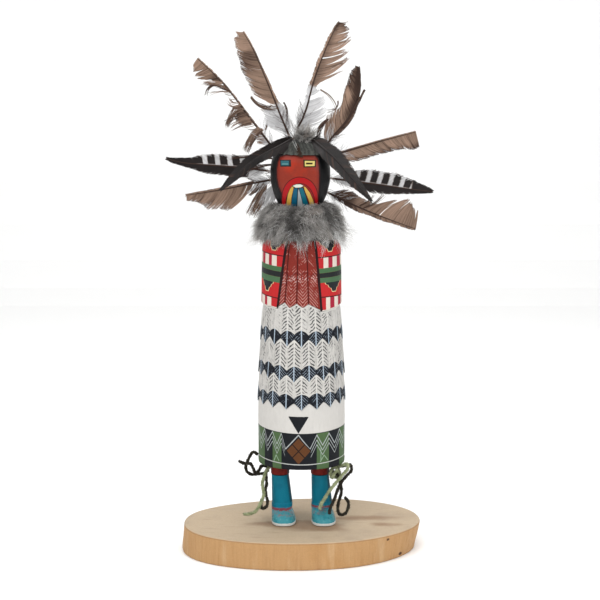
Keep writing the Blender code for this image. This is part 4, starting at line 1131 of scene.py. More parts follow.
def mask_paint():
    """Black, with the red face and the shapes painted on it one over the other."""
    f = Finish("mask_paint", rgb(5, 5, 7), 0.48)
    f.lay(f.noise(0.2, 3, (1, 1, 0.4)).between(0.2, 1.6), rgb(17, 16, 17))
    face = f.field("face")
    ragged = f.noise(1.2, 2) * 0.06
    f.lay(face.between(-0.1, 0.25), rgb(146, 50, 34))
    f.lay(face.between(0.3, 0.8).lower(f.noise(0.07, 3).between(-0.2, 0.8)), rgb(178, 50, 26))
    f.lay(face.between(0.3, 0.8).lower((-f.noise(0.11, 3)).between(0.1, 1.4)), rgb(126, 46, 38))
    f.lay(face.between(0.0, 0.1).lower((-face).between(-3.2, -0.4)) * 0.55, rgb(96, 26, 22))
    f.lay(face.away(0.35, 0.5).between(-0.1, 0.3), rgb(50, 16, 16))
    for key, colour, spread in MASK_LAYERS:
        f.lay((f.field(key) + ragged + spread).edge(MASK_SOFT.get(key, 0.09)), rgb(*colour))
    f.shade(f.noise(0.8, 4), 0.05)
    f.rough(face.between(0.2, 0.6), 0.44, -0.10)
    f.relief(f.noise(0.7, 4, (1, 1, 0.4)) * 0.5 + f.noise(4.0, 2) * 0.2, 0.10)
    f.shader.inputs["Coat Weight"].default_value = 0.07
    f.shader.inputs["Coat Roughness"].default_value = 0.3
    return f.done()


def make_head():
    """Rings of a squared ellipse, closer together over the face; the face is sunk a little."""
    fine = np.linspace(0, 2 * np.pi, 40001)
    ux, uy = squared(fine, HEAD_POWER)
    step = np.hypot(np.diff(ux), np.diff(uy)) * np.where(uy[1:] < 0, 3.4, 1.0)
    run = np.concatenate([[0], np.cumsum(step)])
    columns = 420
    at = np.linspace(0, run[-1], columns, endpoint=False)
    ux, uy = np.interp(at, run, ux), np.interp(at, run, uy)
    z = np.concatenate([np.linspace(204.2, 221.5, 6), np.linspace(222.2, 224.8, 8),
                        np.linspace(225.0, 263.5, 170), np.linspace(263.8, 271.8, 30),
                        [272.2, 272.6]])
    half = head_half(z)
    half[-3:] = (5.0, 3.4, 1.6)
    half = half[:, None]
    x = HEAD_X + half * ux
    y = half * DEPTH_RATIO * uy
    zz = z[:, None] + 0 * x
    deep = inside(x, zz, FACE)
    front = y < -1
    y = y + np.where(front, ease(deep, -0.15, 0.45), 0.0) * 0.7
    y = y - np.where(front, np.exp(-((deep + 0.55) / 0.45) ** 2), 0.0) * 0.16
    points = standing(x, y, zz).reshape(-1, 3)
    n = len(points)
    points = np.vstack([points, (HEAD_X, 0, HEAD_TOP + STAND)])
    faces = [grid_faces(len(z), columns), fan(n, np.arange(n - columns, n))]

    shapes = dict(MASK_SHAPES)
    for key, arch in MOUTH_ARCHES.items():
        shapes[key] = mouth_arch(*arch)
    fields = {key: np.append(np.where(front, inside(x, zz, corners), -9.0).ravel(), -9.0)
              for key, corners in shapes.items()}
    piece("mask_head", points, faces, mask_paint(), ["figure"], fields)


make_head()


# ---- boots

FOOT_TOP = 9.9
STRIDE = 28.6  # from the left boot to the right one
# rings of a boot: middle across and deep, half width, half depth and height
BOOT = [
    (-12.7, -4.6, 8.2, 12.7, 0.0), (-12.7, -4.8, 8.7, 13.3, 0.25), (-12.7, -4.8, 8.8, 13.4, 0.6),
    (-12.7, -4.8, 8.8, 13.4, 1.7), (-12.75, -4.7, 8.5, 12.95, 2.1),
    (-12.8, -4.6, 8.45, 12.85, 2.6),
    (-13.2, -4.0, 8.1, 12.0, 5.2), (-13.6, -3.1, 7.8, 10.9, 7.0), (-14.0, -2.0, 7.4, 9.4, 8.6),
    (-14.1, -0.4, 7.4, 7.2, 10.3), (-14.0, -0.2, 7.5, 7.05, 10.8), (-14.0, -0.2, 7.5, 7.0, 12.4),
    (-14.0, -0.1, 7.35, 6.5, 12.9), (-13.9, 0.0, 7.35, 6.4, 13.6), (-15.3, 0.0, 6.2, 6.4, 34.2),
    (-15.3, 0.0, 6.65, 6.85, 34.7), (-15.3, 0.0, 6.7, 6.9, 41.8), (-15.3, 0.0, 6.3, 6.5, 42.4),
    (-15.3, 0.0, 6.2, 6.4, 43.4),
]


def boot_paint():
    """Blue with a paler foot, a worn ankle, a red cuff and a white sole, with painted shade down
    the legs' right sides and painted shadow at their tops under the robe.
    """
    f = Finish("boot_paint", rgb(0, 126, 152), 0.45)
    up = f.field("up")
    ragged = f.noise(0.8, 3) * 0.14
    f.lay(f.noise(0.12, 3).between(-0.1, 1.4), rgb(0, 104, 132))
    f.lay((up - ragged).under(FOOT_TOP, 0.12), rgb(66, 156, 168))
    foot = up.under(FOOT_TOP)
    f.lay(foot.lower(f.noise(0.35, 4).between(0.0, 0.8)), rgb(24, 116, 134))
    f.lay(foot.lower(f.noise(0.55, 3).between(0.2, 0.9)) * 0.7, rgb(142, 196, 196))
    ankle = up + f.field("drop")
    f.lay((ankle + ragged * 5).away(9.6, 2.4).between(-0.4, 1.2).lower(
        f.noise(0.35, 3).between(-0.4, 0.9)) * 0.85, rgb(160, 128, 124))
    f.lay((ankle + ragged * 3).away(11.3, 0.66).between(-0.12, 0.2).lower(
        (f.noise(0.4, 3) * 1.5 + 0.75).between(0.0, 0.6)) * 0.9, rgb(150, 60, 68))
    f.lay((up + ragged).above(34.3, 0.12), rgb(128, 26, 14))
    f.lay((up - 34.3).between(0, 0.2).lower(f.noise(0.4, 3).between(0.0, 1.0)), rgb(66, 16, 10))
    f.lay(up.away(34.2, 0.35).edge(), rgb(30, 30, 30))
    # painted shade down the legs' right sides
    f.lay(f.field("turned").between(0.2, 0.9) * 0.75, rgb(8, 52, 66))
    # painted shadow under the robe's hem at the top of the legs
    f.lay(up.above(42.2), rgb(40, 34, 32))
    f.lay((up - ragged).under(1.95), rgb(232, 232, 226))
    marks = paint_surface(f)
    f.rough(up.above(FOOT_TOP, 0.2) + f.noise(0.3, 3) * 0.5, 0.28, 0.24)
    f.shader.inputs["Specular IOR Level"].default_value = 0.16
    f.relief(marks, 0.12)
    return f.done()


def make_boots():
    """Rings of a squared ellipse from the sole up the leg; the sole is flat below."""
    table = np.array(BOOT)
    z = np.unique(np.concatenate([
        np.linspace(0, 14, 90), np.linspace(14, 37.2, 40), np.linspace(37.2, 43.4, 36),
        table[:, 4]]))
    cx, cy, hx, hy = (np.interp(z, table[:, 4], table[:, k])[:, None] for k in range(4))
    columns = 128
    t = circle(columns)
    ux, uy = squared(t, np.interp(z, [6, 13], [2.6, 2.1])[:, None])
    x, y = cx + ux * hx, cy + uy * hy
    zz = z[:, None] + 0 * x
    paint = boot_paint()
    # how far round on each leg's right side a point lies, above the foot, for the painted shade
    # there
    turned = np.append(ease(np.sin(t), 0.55, 0.95) * ease(zz, 12.0, 15.0), [0, 0])
    for name, shift, drop in (("boot_left", 0.0, 1.5), ("boot_right", STRIDE, 0.0)):
        points = standing(x + shift, y, zz).reshape(-1, 3)
        ends = [(mid + shift, deep, top + STAND) for mid, deep, _, _, top in (BOOT[0], BOOT[-1])]
        points = np.vstack([points, ends])
        piece(name, points, closed_faces(len(z), columns), paint, ["figure"],
              {"up": np.append(zz, [0, BOOT[-1][4]]), "drop": np.full(len(points), drop),
               "turned": turned})


make_boots()


# ---- feathers

# the fan: depth at the root, how far the shaft curves back, the shaft's points across and
# high, then the width of the vane left and right of it at 22 even steps from root to tip
FAN = {
    "feather_left_1": (
        10.0, 7.0,
        [(-14.0, 260.3), (-22.4, 269.1), (-36.7, 287.5), (-50.0, 305.3),
         (-62.3, 318.6), (-73.3, 328.5)],
        [0, 0, 0, 3, 7, 6, 3, 8, 9.5, 9.5, 8, 6, 5, 4, 4, 4, 4.2, 4.4, 9.6, 11.4, 8.6, 4.2],
        [0, 0, 0, 1, 1, 1.2, 1.2, 1.2, 1.2, 1.2, 1.2, 1.2, 1.2, 1.2, 1.2, 1.2,
         1.2, 1.2, 1.2, 1, 1, 1],
    ),
    "feather_left_2": (
        7.5, 8.0,
        [(-7.0, 266.4), (-9.0, 275.5), (-15.7, 291.0), (-21.1, 305.2),
         (-27.9, 321.1), (-34.6, 336.7), (-41.0, 346.6)],
        [0, 0, 0, 9, 13, 14, 12, 10, 3, 7, 12, 13, 13.4, 13, 14, 14, 13.4, 12.8, 12.2,
         11.2, 8.8, 4.6],
        [0, 0, 0, 3.6, 4.4, 4.4, 4, 4.6, 2.4, 2, 1.6, 1.8, 1.6, 1.4, 1.2, 1, 1,
         1, 1, 1, 1, 1],
    ),
    "feather_right_1": (
        10.0, 8.0,
        [(-3.4, 267.0), (-2.7, 280.0), (3.1, 290.3), (7.2, 308.7),
         (10.0, 317.2), (17.0, 335.0), (22.5, 347.6), (26.7, 353.5)],
        [0, 0, 0, 2.1, 3, 4, 3.6, 3.1, 3.1, 3.2, 3.2, 2, 2.4, 2.6, 2.8, 2.4, 1.8,
         2, 2, 1.4, 1.4, 1],
        [0, 0, 0, 5, 12, 14, 13.4, 12.2, 11, 7, 3, 5, 11, 15, 19, 18.4, 17, 14.5,
         14.2, 12.4, 9.8, 5],
    ),
    "feather_right_2": (
        7.5, 6.0,
        [(11.8, 258.6), (18.3, 269.2), (23.4, 276.5), (30.9, 283.5),
         (36.6, 294.4), (40.0, 303.0), (41.0, 311.6), (39.9, 322.6)],
        [0, 0, 0, 1, 4, 7, 9, 11, 12, 11.8, 10.6, 10.2, 10.8, 11.6, 11.9, 11.6,
         11.2, 10.6, 9.4, 7.8, 5.6, 2.6],
        [0, 0, 0, 1, 1.6, 2.0, 2.4, 2.8, 3.0, 3.2, 3.2, 3.2, 3.0, 2.6, 2.0, 1.4,
         1.2, 1.2, 1, 1, 1, 1],
    ),
    "feather_right_3": (
        10.0, 5.0,
        [(13.2, 257.6), (22.1, 260.8), (26.5, 262.4), (53.6, 270.2),
         (80.9, 277.2)],
        [0, 0, 0, 1, 1.2, 1.2, 1.2, 1.2, 1.2, 1.2, 1.2, 1.2, 1.2, 1.2, 1.2, 1.2,
         1.2, 1.2, 1.2, 1, 1, 1],
        [0, 0, 0, 2, 5, 7.6, 9, 9.4, 9.6, 9.6, 9.4, 9.2, 9.2, 9.2, 9.4, 9.5, 9.6,
         9.8, 10.4, 12, 12.4, 11.5],
    ),
    "feather_left_3": (
        7.5, 5.0,
        [(-15.4, 249.2), (-22.8, 250.0), (-41.0, 252.5), (-64.1, 254.2),
         (-85.2, 255.6), (-95.6, 258.8)],
        [0, 0, 0, 3, 5, 6, 7, 7.6, 8, 7.6, 7, 6.8, 6.8, 6.6, 6, 5, 4, 3.2, 2.6,
         2.2, 1.8, 1],
        [0, 0, 0, 3, 5.4, 7, 7.8, 8.2, 8.6, 8.6, 8.3, 8.4, 8.3, 8, 7.3, 6.2, 5,
         4, 3.6, 2.8, 1.8, 1],
    ),
    "feather_right_4": (
        7.5, 5.0,
        [(14.0, 246.0), (22.0, 244.8), (35.5, 243.0), (54.4, 240.6),
         (68.5, 238.5), (80.1, 236.7), (93.2, 235.3)],
        [0, 0, 0, 2, 4, 6, 8, 9, 9.6, 10.2, 10.2, 10, 9.8, 9.9, 10, 9, 7.8, 7,
         5.4, 4.4, 3, 1],
        [0, 0, 0, 2, 3, 4, 5, 5.6, 6, 6.6, 7, 6.8, 6.4, 6, 5.4, 4.8, 4.2, 3.6,
         3, 2.4, 1.8, 1],
    ),
    "feather_left_4": (
        10.0, 6.0,
        [(-14.8, 244.7), (-22.5, 243.6), (-37.0, 240.8), (-50.5, 237.8),
         (-66.6, 234.8), (-82.2, 232.5)],
        [0, 0, 0, 4, 9, 9, 12.5, 9, 7, 9, 13, 15.4, 15.6, 15.4, 14.8, 13.6, 12,
         9, 7.4, 6, 4, 1],
        [0, 0, 0, 1, 1.4, 1.6, 1.8, 1.8, 1.8, 1.8, 1.8, 1.8, 1.8, 1.8, 1.8, 1.8,
         1.8, 1.6, 1.6, 1.4, 1.2, 1],
    ),
    "feather_right_5": (
        10.0, 6.0,
        [(12.4, 238.1), (18.4, 234.8), (30.7, 229.0), (43.0, 223.2),
         (62.6, 215.4), (81.7, 208.5)],
        [0, 0, 0, 3, 6, 8, 8.6, 8, 7.6, 7.4, 7.2, 7.2, 8, 11, 13.4, 15, 17, 19,
         17, 14.6, 13, 11.5],
        [0, 0, 0, 1.4, 2.4, 2.6, 3, 3.4, 3.6, 3.8, 3.2, 2.8, 2.8, 3, 3.1, 2.6,
         2.2, 2.1, 2.1, 2.1, 2, 1],
    ),
}
# depth of the two feathers that lie over the head, at shares of the shaft: they come forward
# from its top and lie against its front corners
OVER_HEAD = [(0, 3.4), (0.08, -2.0), (0.18, -9.5), (0.3, -14.5), (0.45, -16.5), (0.7, -15.5),
             (1, -13)]
DRAPED = {
    "black_feather_left": (
        OVER_HEAD, 0,
        [(-2.4, 268.0), (-5.5, 273.2), (-10.6, 270.4), (-19.6, 265.8), (-31.2, 259.8),
         (-37.9, 254.9), (-44.8, 248.7), (-55.8, 237.8)],
        [0, 0, 1.5, 4.0, 5.2, 5.4, 5.2, 5.0, 4.9, 4.7, 4.6, 4.5, 4.5, 4.4, 4.2, 4,
         3.7, 3.3, 2.8, 2.2, 1.5, 1],
        [0, 0, 1.0, 3.0, 4.2, 4.6, 4.7, 4.7, 4.6, 4.6, 4.5, 4.5, 4.4, 4.3, 4.1, 4,
         3.6, 3.2, 2.7, 2.1, 1.4, 1],
    ),
    "black_feather_right": (
        OVER_HEAD, 0,
        [(2.8, 267.0), (6.2, 273.2), (12.2, 269.0), (23.7, 258.9), (32.2, 248.9),
         (40.3, 239.4), (48.6, 230.0)],
        [0, 0, 1.0, 3.5, 4.8, 5.4, 5.8, 6.2, 6.5, 6.5, 6.3, 5.9, 5.5, 5.1, 4.8, 4.3,
         3.8, 3.2, 2.6, 2.0, 1.4, 0.8],
        [0, 0, 1.5, 4.0, 5.0, 5.4, 5.8, 6.2, 6.5, 6.5, 6.3, 5.9, 5.5, 5.1, 4.8, 4.3,
         3.8, 3.2, 2.6, 2.0, 1.4, 0.8],
    ),
}


def shaft_line(entry, count=400):
    """The shaft in the front view: straight in its socket, then smoothed by a running mean."""
    points = np.array(entry[2], float)
    run = np.concatenate([[0], np.cumsum(np.linalg.norm(np.diff(points, axis=0), axis=1))])
    at = np.linspace(0, run[-1], count)
    fine = np.stack([np.interp(at, run, points[:, k]) for k in (0, 1)], 1)
    total = np.vstack([np.zeros((1, 2)), np.cumsum(fine, axis=0)])
    index = np.arange(count)
    straight = int(count * run[1] / run[-1])
    reach = np.clip(np.minimum(index - straight, count - 1 - index), 0, count // 9)
    smooth = (total[index + reach + 1] - total[index - reach]) / (2 * reach + 1)[:, None]
    return smooth, run[-1]


def noise_line(x, scale, seed, octaves=3):
    """Smooth noise along a line, about plus or minus 1: a sum of sines of odd lengths."""
    value = np.zeros_like(x, float)
    for k in range(octaves):
        f = 2 ** k / scale
        slow = np.sin(x * f * 0.618 + seed * 1.7 + 2 * k)
        value += np.sin(x * f + seed * 3.1 + k) * slow / 1.5 ** k
    return value / 1.3


# barred feathers: side of the upper vane, where its bars start and end, the length of a bar
# and gap together and the middle of one bar, as shares of the shaft
BARRED = {"feather_left_3": (-1, 0.16, 0.72, 0.108, 0.59),
          "feather_right_4": (1, 0.28, 0.80, 0.099, 0.553)}
# feathers with more loose down round the quill
DOWNY = ("feather_left_2", "feather_right_1", "feather_left_4")


def vane_colour(name, s, across, side):
    """Levels (dark, pale, black) at a share along the feather and across one vane."""
    dark, pale, black = np.zeros_like(s), np.zeros_like(s), np.zeros_like(s)
    if name in DRAPED:
        return dark + 1, pale, black + 1 - 0.25 * ease(across, 0.7, 1.0) * ease(s, 0.3, 0.5)
    if name in BARRED:
        upper_side, start, end, period, middle = BARRED[name]
        upper = side == upper_side
        t = (s - middle - 0.02 * across) / period + 0.5
        bars = np.abs(t - np.floor(t) - 0.5) * 2
        bars = ease(bars, 0.66, 0.56)
        tip = ease(s, end - 0.02, end + 0.02)
        band = bars * ease(across, 0.06, 0.16) * (1 - ease(across, 0.9, 1.0) * 0.6)
        level = np.where(upper, np.maximum(band * ease(s, start - 0.02, start + 0.02), tip),
                         np.maximum(ease(s, 0.24, 0.33) * ease(across, 1.05, 0.0) + 0.7, tip))
        level = np.where((~upper) & (s < 0.26), 0.0, level)
        return 0 * s, 1 - np.clip(level, 0, 1), np.clip(level, 0, 1)
    if name == "feather_left_2":
        dark = 0.56 * ease(s, 0.56, 0.76) * ease(s, 0.88, 0.80) * (0.55 + 0.45 * across)
        dark += 0.14 * ease(s, 0.40, 0.5) - 0.2 * ease(s, 0.84, 0.88)
        pale = ease(s, 0.40, 0.33)
    elif name == "feather_left_1":
        dark = 0.22 + 0.3 * ease(across, 0.55, 0.95) * ease(s, 0.25, 0.35) * ease(s, 0.62, 0.5)
        dark = dark + 0.3 * ease(s, 0.84, 0.80) * ease(s, 0.6, 0.7) - 0.1 * ease(s, 0.8, 0.9)
        pale = ease(s, 0.20, 0.14)
    elif name == "feather_right_1":
        dark = 0.2 + 0.35 * ease(across, 0.45, 0.0) + 0.4 * ease(s, 0.9, 1.0)
        pale = ease(s, 0.50, 0.45)
    elif name == "feather_right_2":
        dark = 0.25 + 0.6 * ease(across, 0.6, 0.1) * ease(s, 0.3, 0.6) + 0.5 * (side < 0)
        dark = dark + 0.45 * ease(s, 0.70, 0.80)
        pale = ease(s, 0.22, 0.16) + 0.25 * ease(across, 0.7, 1.0) * ease(s, 0.6, 0.3)
    elif name == "feather_right_3":
        dark = 0.25 + 0.4 * ease(across, 0.5, 0.95) * (side < 0)
        pale = ease(s, 0.22, 0.17)
    elif name == "feather_left_4":
        dark = 0.25 + 0.35 * ease(s, 0.45, 0.3)
        pale = ease(s, 0.24, 0.20)
    else:
        dark = 0.24 + 0.2 * (side < 0) + 0.5 * ease(s, 0.42, 0.3)
        pale = ease(s, 0.18, 0.13) + 0.25 * ease(across, 0.5, 1.0) * ease(s, 0.6, 0.4)
    return np.clip(dark, 0, 1), np.clip(pale, 0, 1), black


def feather_finish(name, rough, shine=0.2):
    """A feather's brown, darkened, whitened or blackened by its barbs' own fields."""
    f = Finish(name, rgb(174, 144, 124), rough, 0.0, shine)
    f.lay(f.field("dark").between(0.0, 1.0), rgb(66, 46, 37))
    f.lay(f.field("pale").between(0.1, 0.9), rgb(226, 225, 226))
    f.lay(f.field("black").between(0.15, 0.85), rgb(34, 27, 26))
    f.shade(f.field("tint") - 0.5, 0.95)
    f.shade(f.noise(0.5, 3), 0.08)
    f.relief(f.noise(3.0, 3), 0.05)
    return f.done()


# per feather: spacing of the barbs, how much they split, raggedness, share where down ends
CHARACTER = {
    "feather_left_1": (0.27, 0.7, 0.16, 0.12), "feather_left_2": (0.26, 0.16, 0.06, 0.14),
    "feather_right_1": (0.26, 0.9, 0.3, 0.14), "feather_right_2": (0.26, 0.2, 0.05, 0.16),
    "feather_right_3": (0.26, 0.2, 0.08, 0.16), "feather_left_3": (0.26, 0.16, 0.06, 0.16),
    "feather_right_4": (0.26, 0.16, 0.06, 0.16), "feather_left_4": (0.26, 0.42, 0.10, 0.18),
    "feather_right_5": (0.27, 0.34, 0.10, 0.14), "black_feather_left": (0.25, 0.15, 0.06, 0.0),
    "black_feather_right": (0.25, 0.15, 0.06, 0.0),
}
# how far the barbs lean to the tip, at shares of the shaft; PLAIN_SLANT for the others
PLAIN_SLANT = ((0, 1), (1.05, 1.05))
SLANTS = {
    "feather_left_1": ((0.3, 0.5, 0.74, 0.83, 1.0), (0.5, 0.5, 1.0, 0.7, -0.15)),
    "feather_left_2": ((0, 1), (0.85, 0.85)), "feather_right_1": ((0, 1), (0.85, 0.85)),
    "feather_right_2": ((0.8, 1.0), (1.05, 0.6)),
    "feather_right_3": ((0.5, 0.85, 1.0), (1.05, 0.5, 0.0)),
    "feather_right_5": ((0.45, 0.75, 1.0), (1.0, 0.4, -0.3)),
    "black_feather_left": ((0, 1), (1.5, 1.5)), "black_feather_right": ((0, 1), (1.5, 1.5)),
}
# where barbs are missing from the wider vane, as shares of the shaft
GAPS = {
    "feather_left_1": [(0.285, 0.335), (0.50, 0.745)],
    "feather_left_2": [(0.31, 0.36), (0.658, 0.662)],
    "feather_right_1": [(0.36, 0.40), (0.69, 0.70)],
    "feather_left_4": [(0.245, 0.285), (0.34, 0.35)],
    "feather_right_5": [(0.46, 0.47), (0.62, 0.63)],
    "feather_right_2": [(0.52, 0.525)],
}
# barbs that have come away: start, bend, end in the front view, then width, count and darkness
# (a darkness below 0 stands for white barbs)
STRAYS = {
    "feather_left_1": [
        ((-42.8, 296.2), (-51.0, 292.0), (-51.5, 281.5), 2.2, 12, 0.7),
        ((-40.5, 293.2), (-50.5, 289.5), (-52.6, 281.0), 2.2, 12, 0.6),
        ((-38.1, 290.1), (-48.0, 286.6), (-53.2, 283.0), 2.2, 12, 0.8),
        ((-35.8, 286.6), (-46.0, 284.5), (-49.6, 280.4), 2.0, 10, 0.5),
        ((-47.0, 289.5), (-49.8, 287.0), (-51.6, 282.0), 2.6, 16, 1.0),
        ((-42.8, 296.2), (-49.0, 293.0), (-51.8, 297.8), 1.6, 6, 0.5),
        ((-43.6, 297.2), (-48.4, 296.0), (-49.8, 300.6), 1.6, 5, 0.4),
        ((-35.1, 283.1), (-42.0, 282.6), (-48.8, 278.3), 0.8, 5, 0.7),
        ((-55.5, 310.6), (-60.5, 311.6), (-68.4, 310.9), 1.7, 12, 0.35),
        ((-53.5, 308.6), (-60.0, 311.0), (-67.5, 310.3), 1.5, 12, 0.5),
        ((-51.5, 306.6), (-58.0, 310.4), (-66.0, 309.6), 1.3, 10, 0.7),
        ((-49.9, 304.9), (-56.0, 308.6), (-63.0, 309.9), 1.2, 10, 0.9),
        ((-58.0, 309.6), (-66.6, 309.6), (-66.6, 302.6), 1.5, 12, 0.85),
        ((-50.3, 305.2), (-57.5, 306.2), (-63.8, 303.2), 0.7, 4, 0.6),
        ((-27.5, 279.0), (-34.5, 275.4), (-39.0, 264.0), 5.5, 44, 0.6),
        ((-29.5, 280.0), (-34.0, 277.4), (-37.5, 266.5), 4.0, 22, 0.4),
        ((-25.2, 278.5), (-24.0, 283.0), (-23.2, 286.4), 0.9, 5, 0.7)],
    "feather_right_5": [
        ((42.7, 223.3), (53.9, 226.4), (58.2, 233.9), 0.9, 9, 0.95),
        ((41.0, 225.5), (47.9, 228.1), (51.1, 233.0), 0.8, 6, 0.9)],
    "feather_left_2": [
        ((-35.0, 301.2), (-29.9, 292.0), (-16.0, 293.9), 2.6, 20, 0.75),
        ((-12.4, 297.5), (-8.4, 292.4), (-10.8, 285.0), 1.2, 8, 0.9)],
    "feather_right_1": [
        ((13.1, 306.3), (22.5, 302.0), (25.2, 293.6), 0.8, 5, 0.7),
        ((25.4, 298.5), (26.4, 292.0), (17.6, 291.7), 1.4, 7, 0.75)],
    "feather_right_2": [
        ((18.6, 286.0), (11.9, 282.7), (11.2, 271.7), 3.2, 22, 0.95),
        ((43.9, 306.3), (40.5, 299.0), (34.5, 291.0), 1.6, 14, 0.95)],
    "feather_left_4": [((-25.4, 240.5), (-28.9, 231.1), (-35.5, 219.0), 7.0, 74, 0.6),
        ((-19.0, 239.5), (-22.0, 233.0), (-26.5, 224.8), 9.0, 70, -1.0)],
    "feather_left_3": [((-20.1, 254.5), (-34.7, 254.1), (-46.0, 246.5), 2.0, 16, 1.0),
                       ((-20.1, 258.7), (-36.1, 261.5), (-48.7, 259.1), 1.4, 12, 1.0)],
}


QUILL_RADIUS, STRAY_WIDTH, PLUME_WIDTH = 0.80, 0.42, 0.30


def quill(at, draped):
    """The shaft as a tube that tapers to a quarter, pale at its root."""
    share = np.linspace(0.0, 0.995, 70)
    p, _, y = at(share)
    radius = QUILL_RADIUS * (1 - 0.74 * np.clip((share - 0.08) / 0.92, 0, 1) ** 0.9)
    path = standing(p[:, 0], y, p[:, 1])
    points, faces = tube(path, radius, 8, np.tile((0.0, 0.3, 0.95), (len(path), 1)))
    tone = np.append(np.repeat(ease(share, 0.06, 0.14), 8), [0, 1])
    return points, faces, {"dark": tone, "pale": (1 - tone) * (0.0 if draped else 0.7),
                           "black": tone * (0.8 if draped else 0.35), "tint": 0.5}


def barb_places(rng, start, step, gaps):
    """Shares of the shaft where barbs leave it: nearly even steps, few of them in a gap."""
    number = int((1 - start) / step)
    places = np.linspace(start, 0.992, number) + rng.normal(0, 0.0006, number)
    keep = np.ones(number, bool)
    for low, high in gaps:
        keep &= (places < low) | (places > high) | (rng.uniform(0, 1, number) < 0.14)
    return places[keep]


def barb_groups(rng, run, split, seed, side):
    """Groups of barbs that hang together: how far each barb is from its group's middle, the
    length of a group and a number from 0 to 1 that its barbs share."""
    clump = rng.uniform(2.6, 3.6) if split > 0.85 else rng.uniform(4.5, 6.5)
    phase = run / clump + 0.8 * noise_line(run, 1.6 * clump, seed)
    group = np.floor(phase)
    offset = (phase - group - 0.5) * clump
    return offset, clump, (np.sin(group * 12.9898 + seed * 7.7 + side) * 43758.5453) % 1.0


def barb_tones(rng, name, seed, side, here, v, run, forward, edge, pick):
    """A vane's colours made uneven: dark streaks, darker where a group ends and at the tips (where
    the barbs curl, partly painted shade), a tint for each group and barb, and painted glossy
    highlights streaked across the draped feathers."""
    number = len(run)
    dark, pale, black = vane_colour(name, here, v + 0 * here, np.full(here.shape, side))
    streak = (rng.uniform(0, 1, (number, 1)) < 0.13) * rng.uniform(0.3, 0.9, (number, 1))
    # the last term darkens the barbs' tips, where they curl, partly as painted shade
    dark = dark + 0.6 * streak + 0.35 * edge + 0.30 * ease(v, 0.86, 1.0)
    drift = noise_line(run[:, None], 9.0, seed, 2)
    tint = (0.5 + 0.30 * (pick[:, None] - 0.5) + rng.normal(0, 0.10, (number, 1))
            - 0.14 * (1 - v) ** 2 - 0.16 * edge + 0.08 * drift)
    # painted glossy highlights and shade in streaks along the draped feathers
    if name in DRAPED:
        painted_gloss = noise_line(run[:, None] + forward * 0.2, 1.5, seed + side, 3)
        tint = tint - (0.22 if name.endswith("right") else 0.17) + 0.34 * painted_gloss
        black = black - 0.75 * np.clip(painted_gloss - 0.1, 0, 1)
        pale = pale + 0.13 * ease(painted_gloss, 0.35, 0.9)
    return {"dark": dark, "pale": pale, "black": black, "tint": tint}


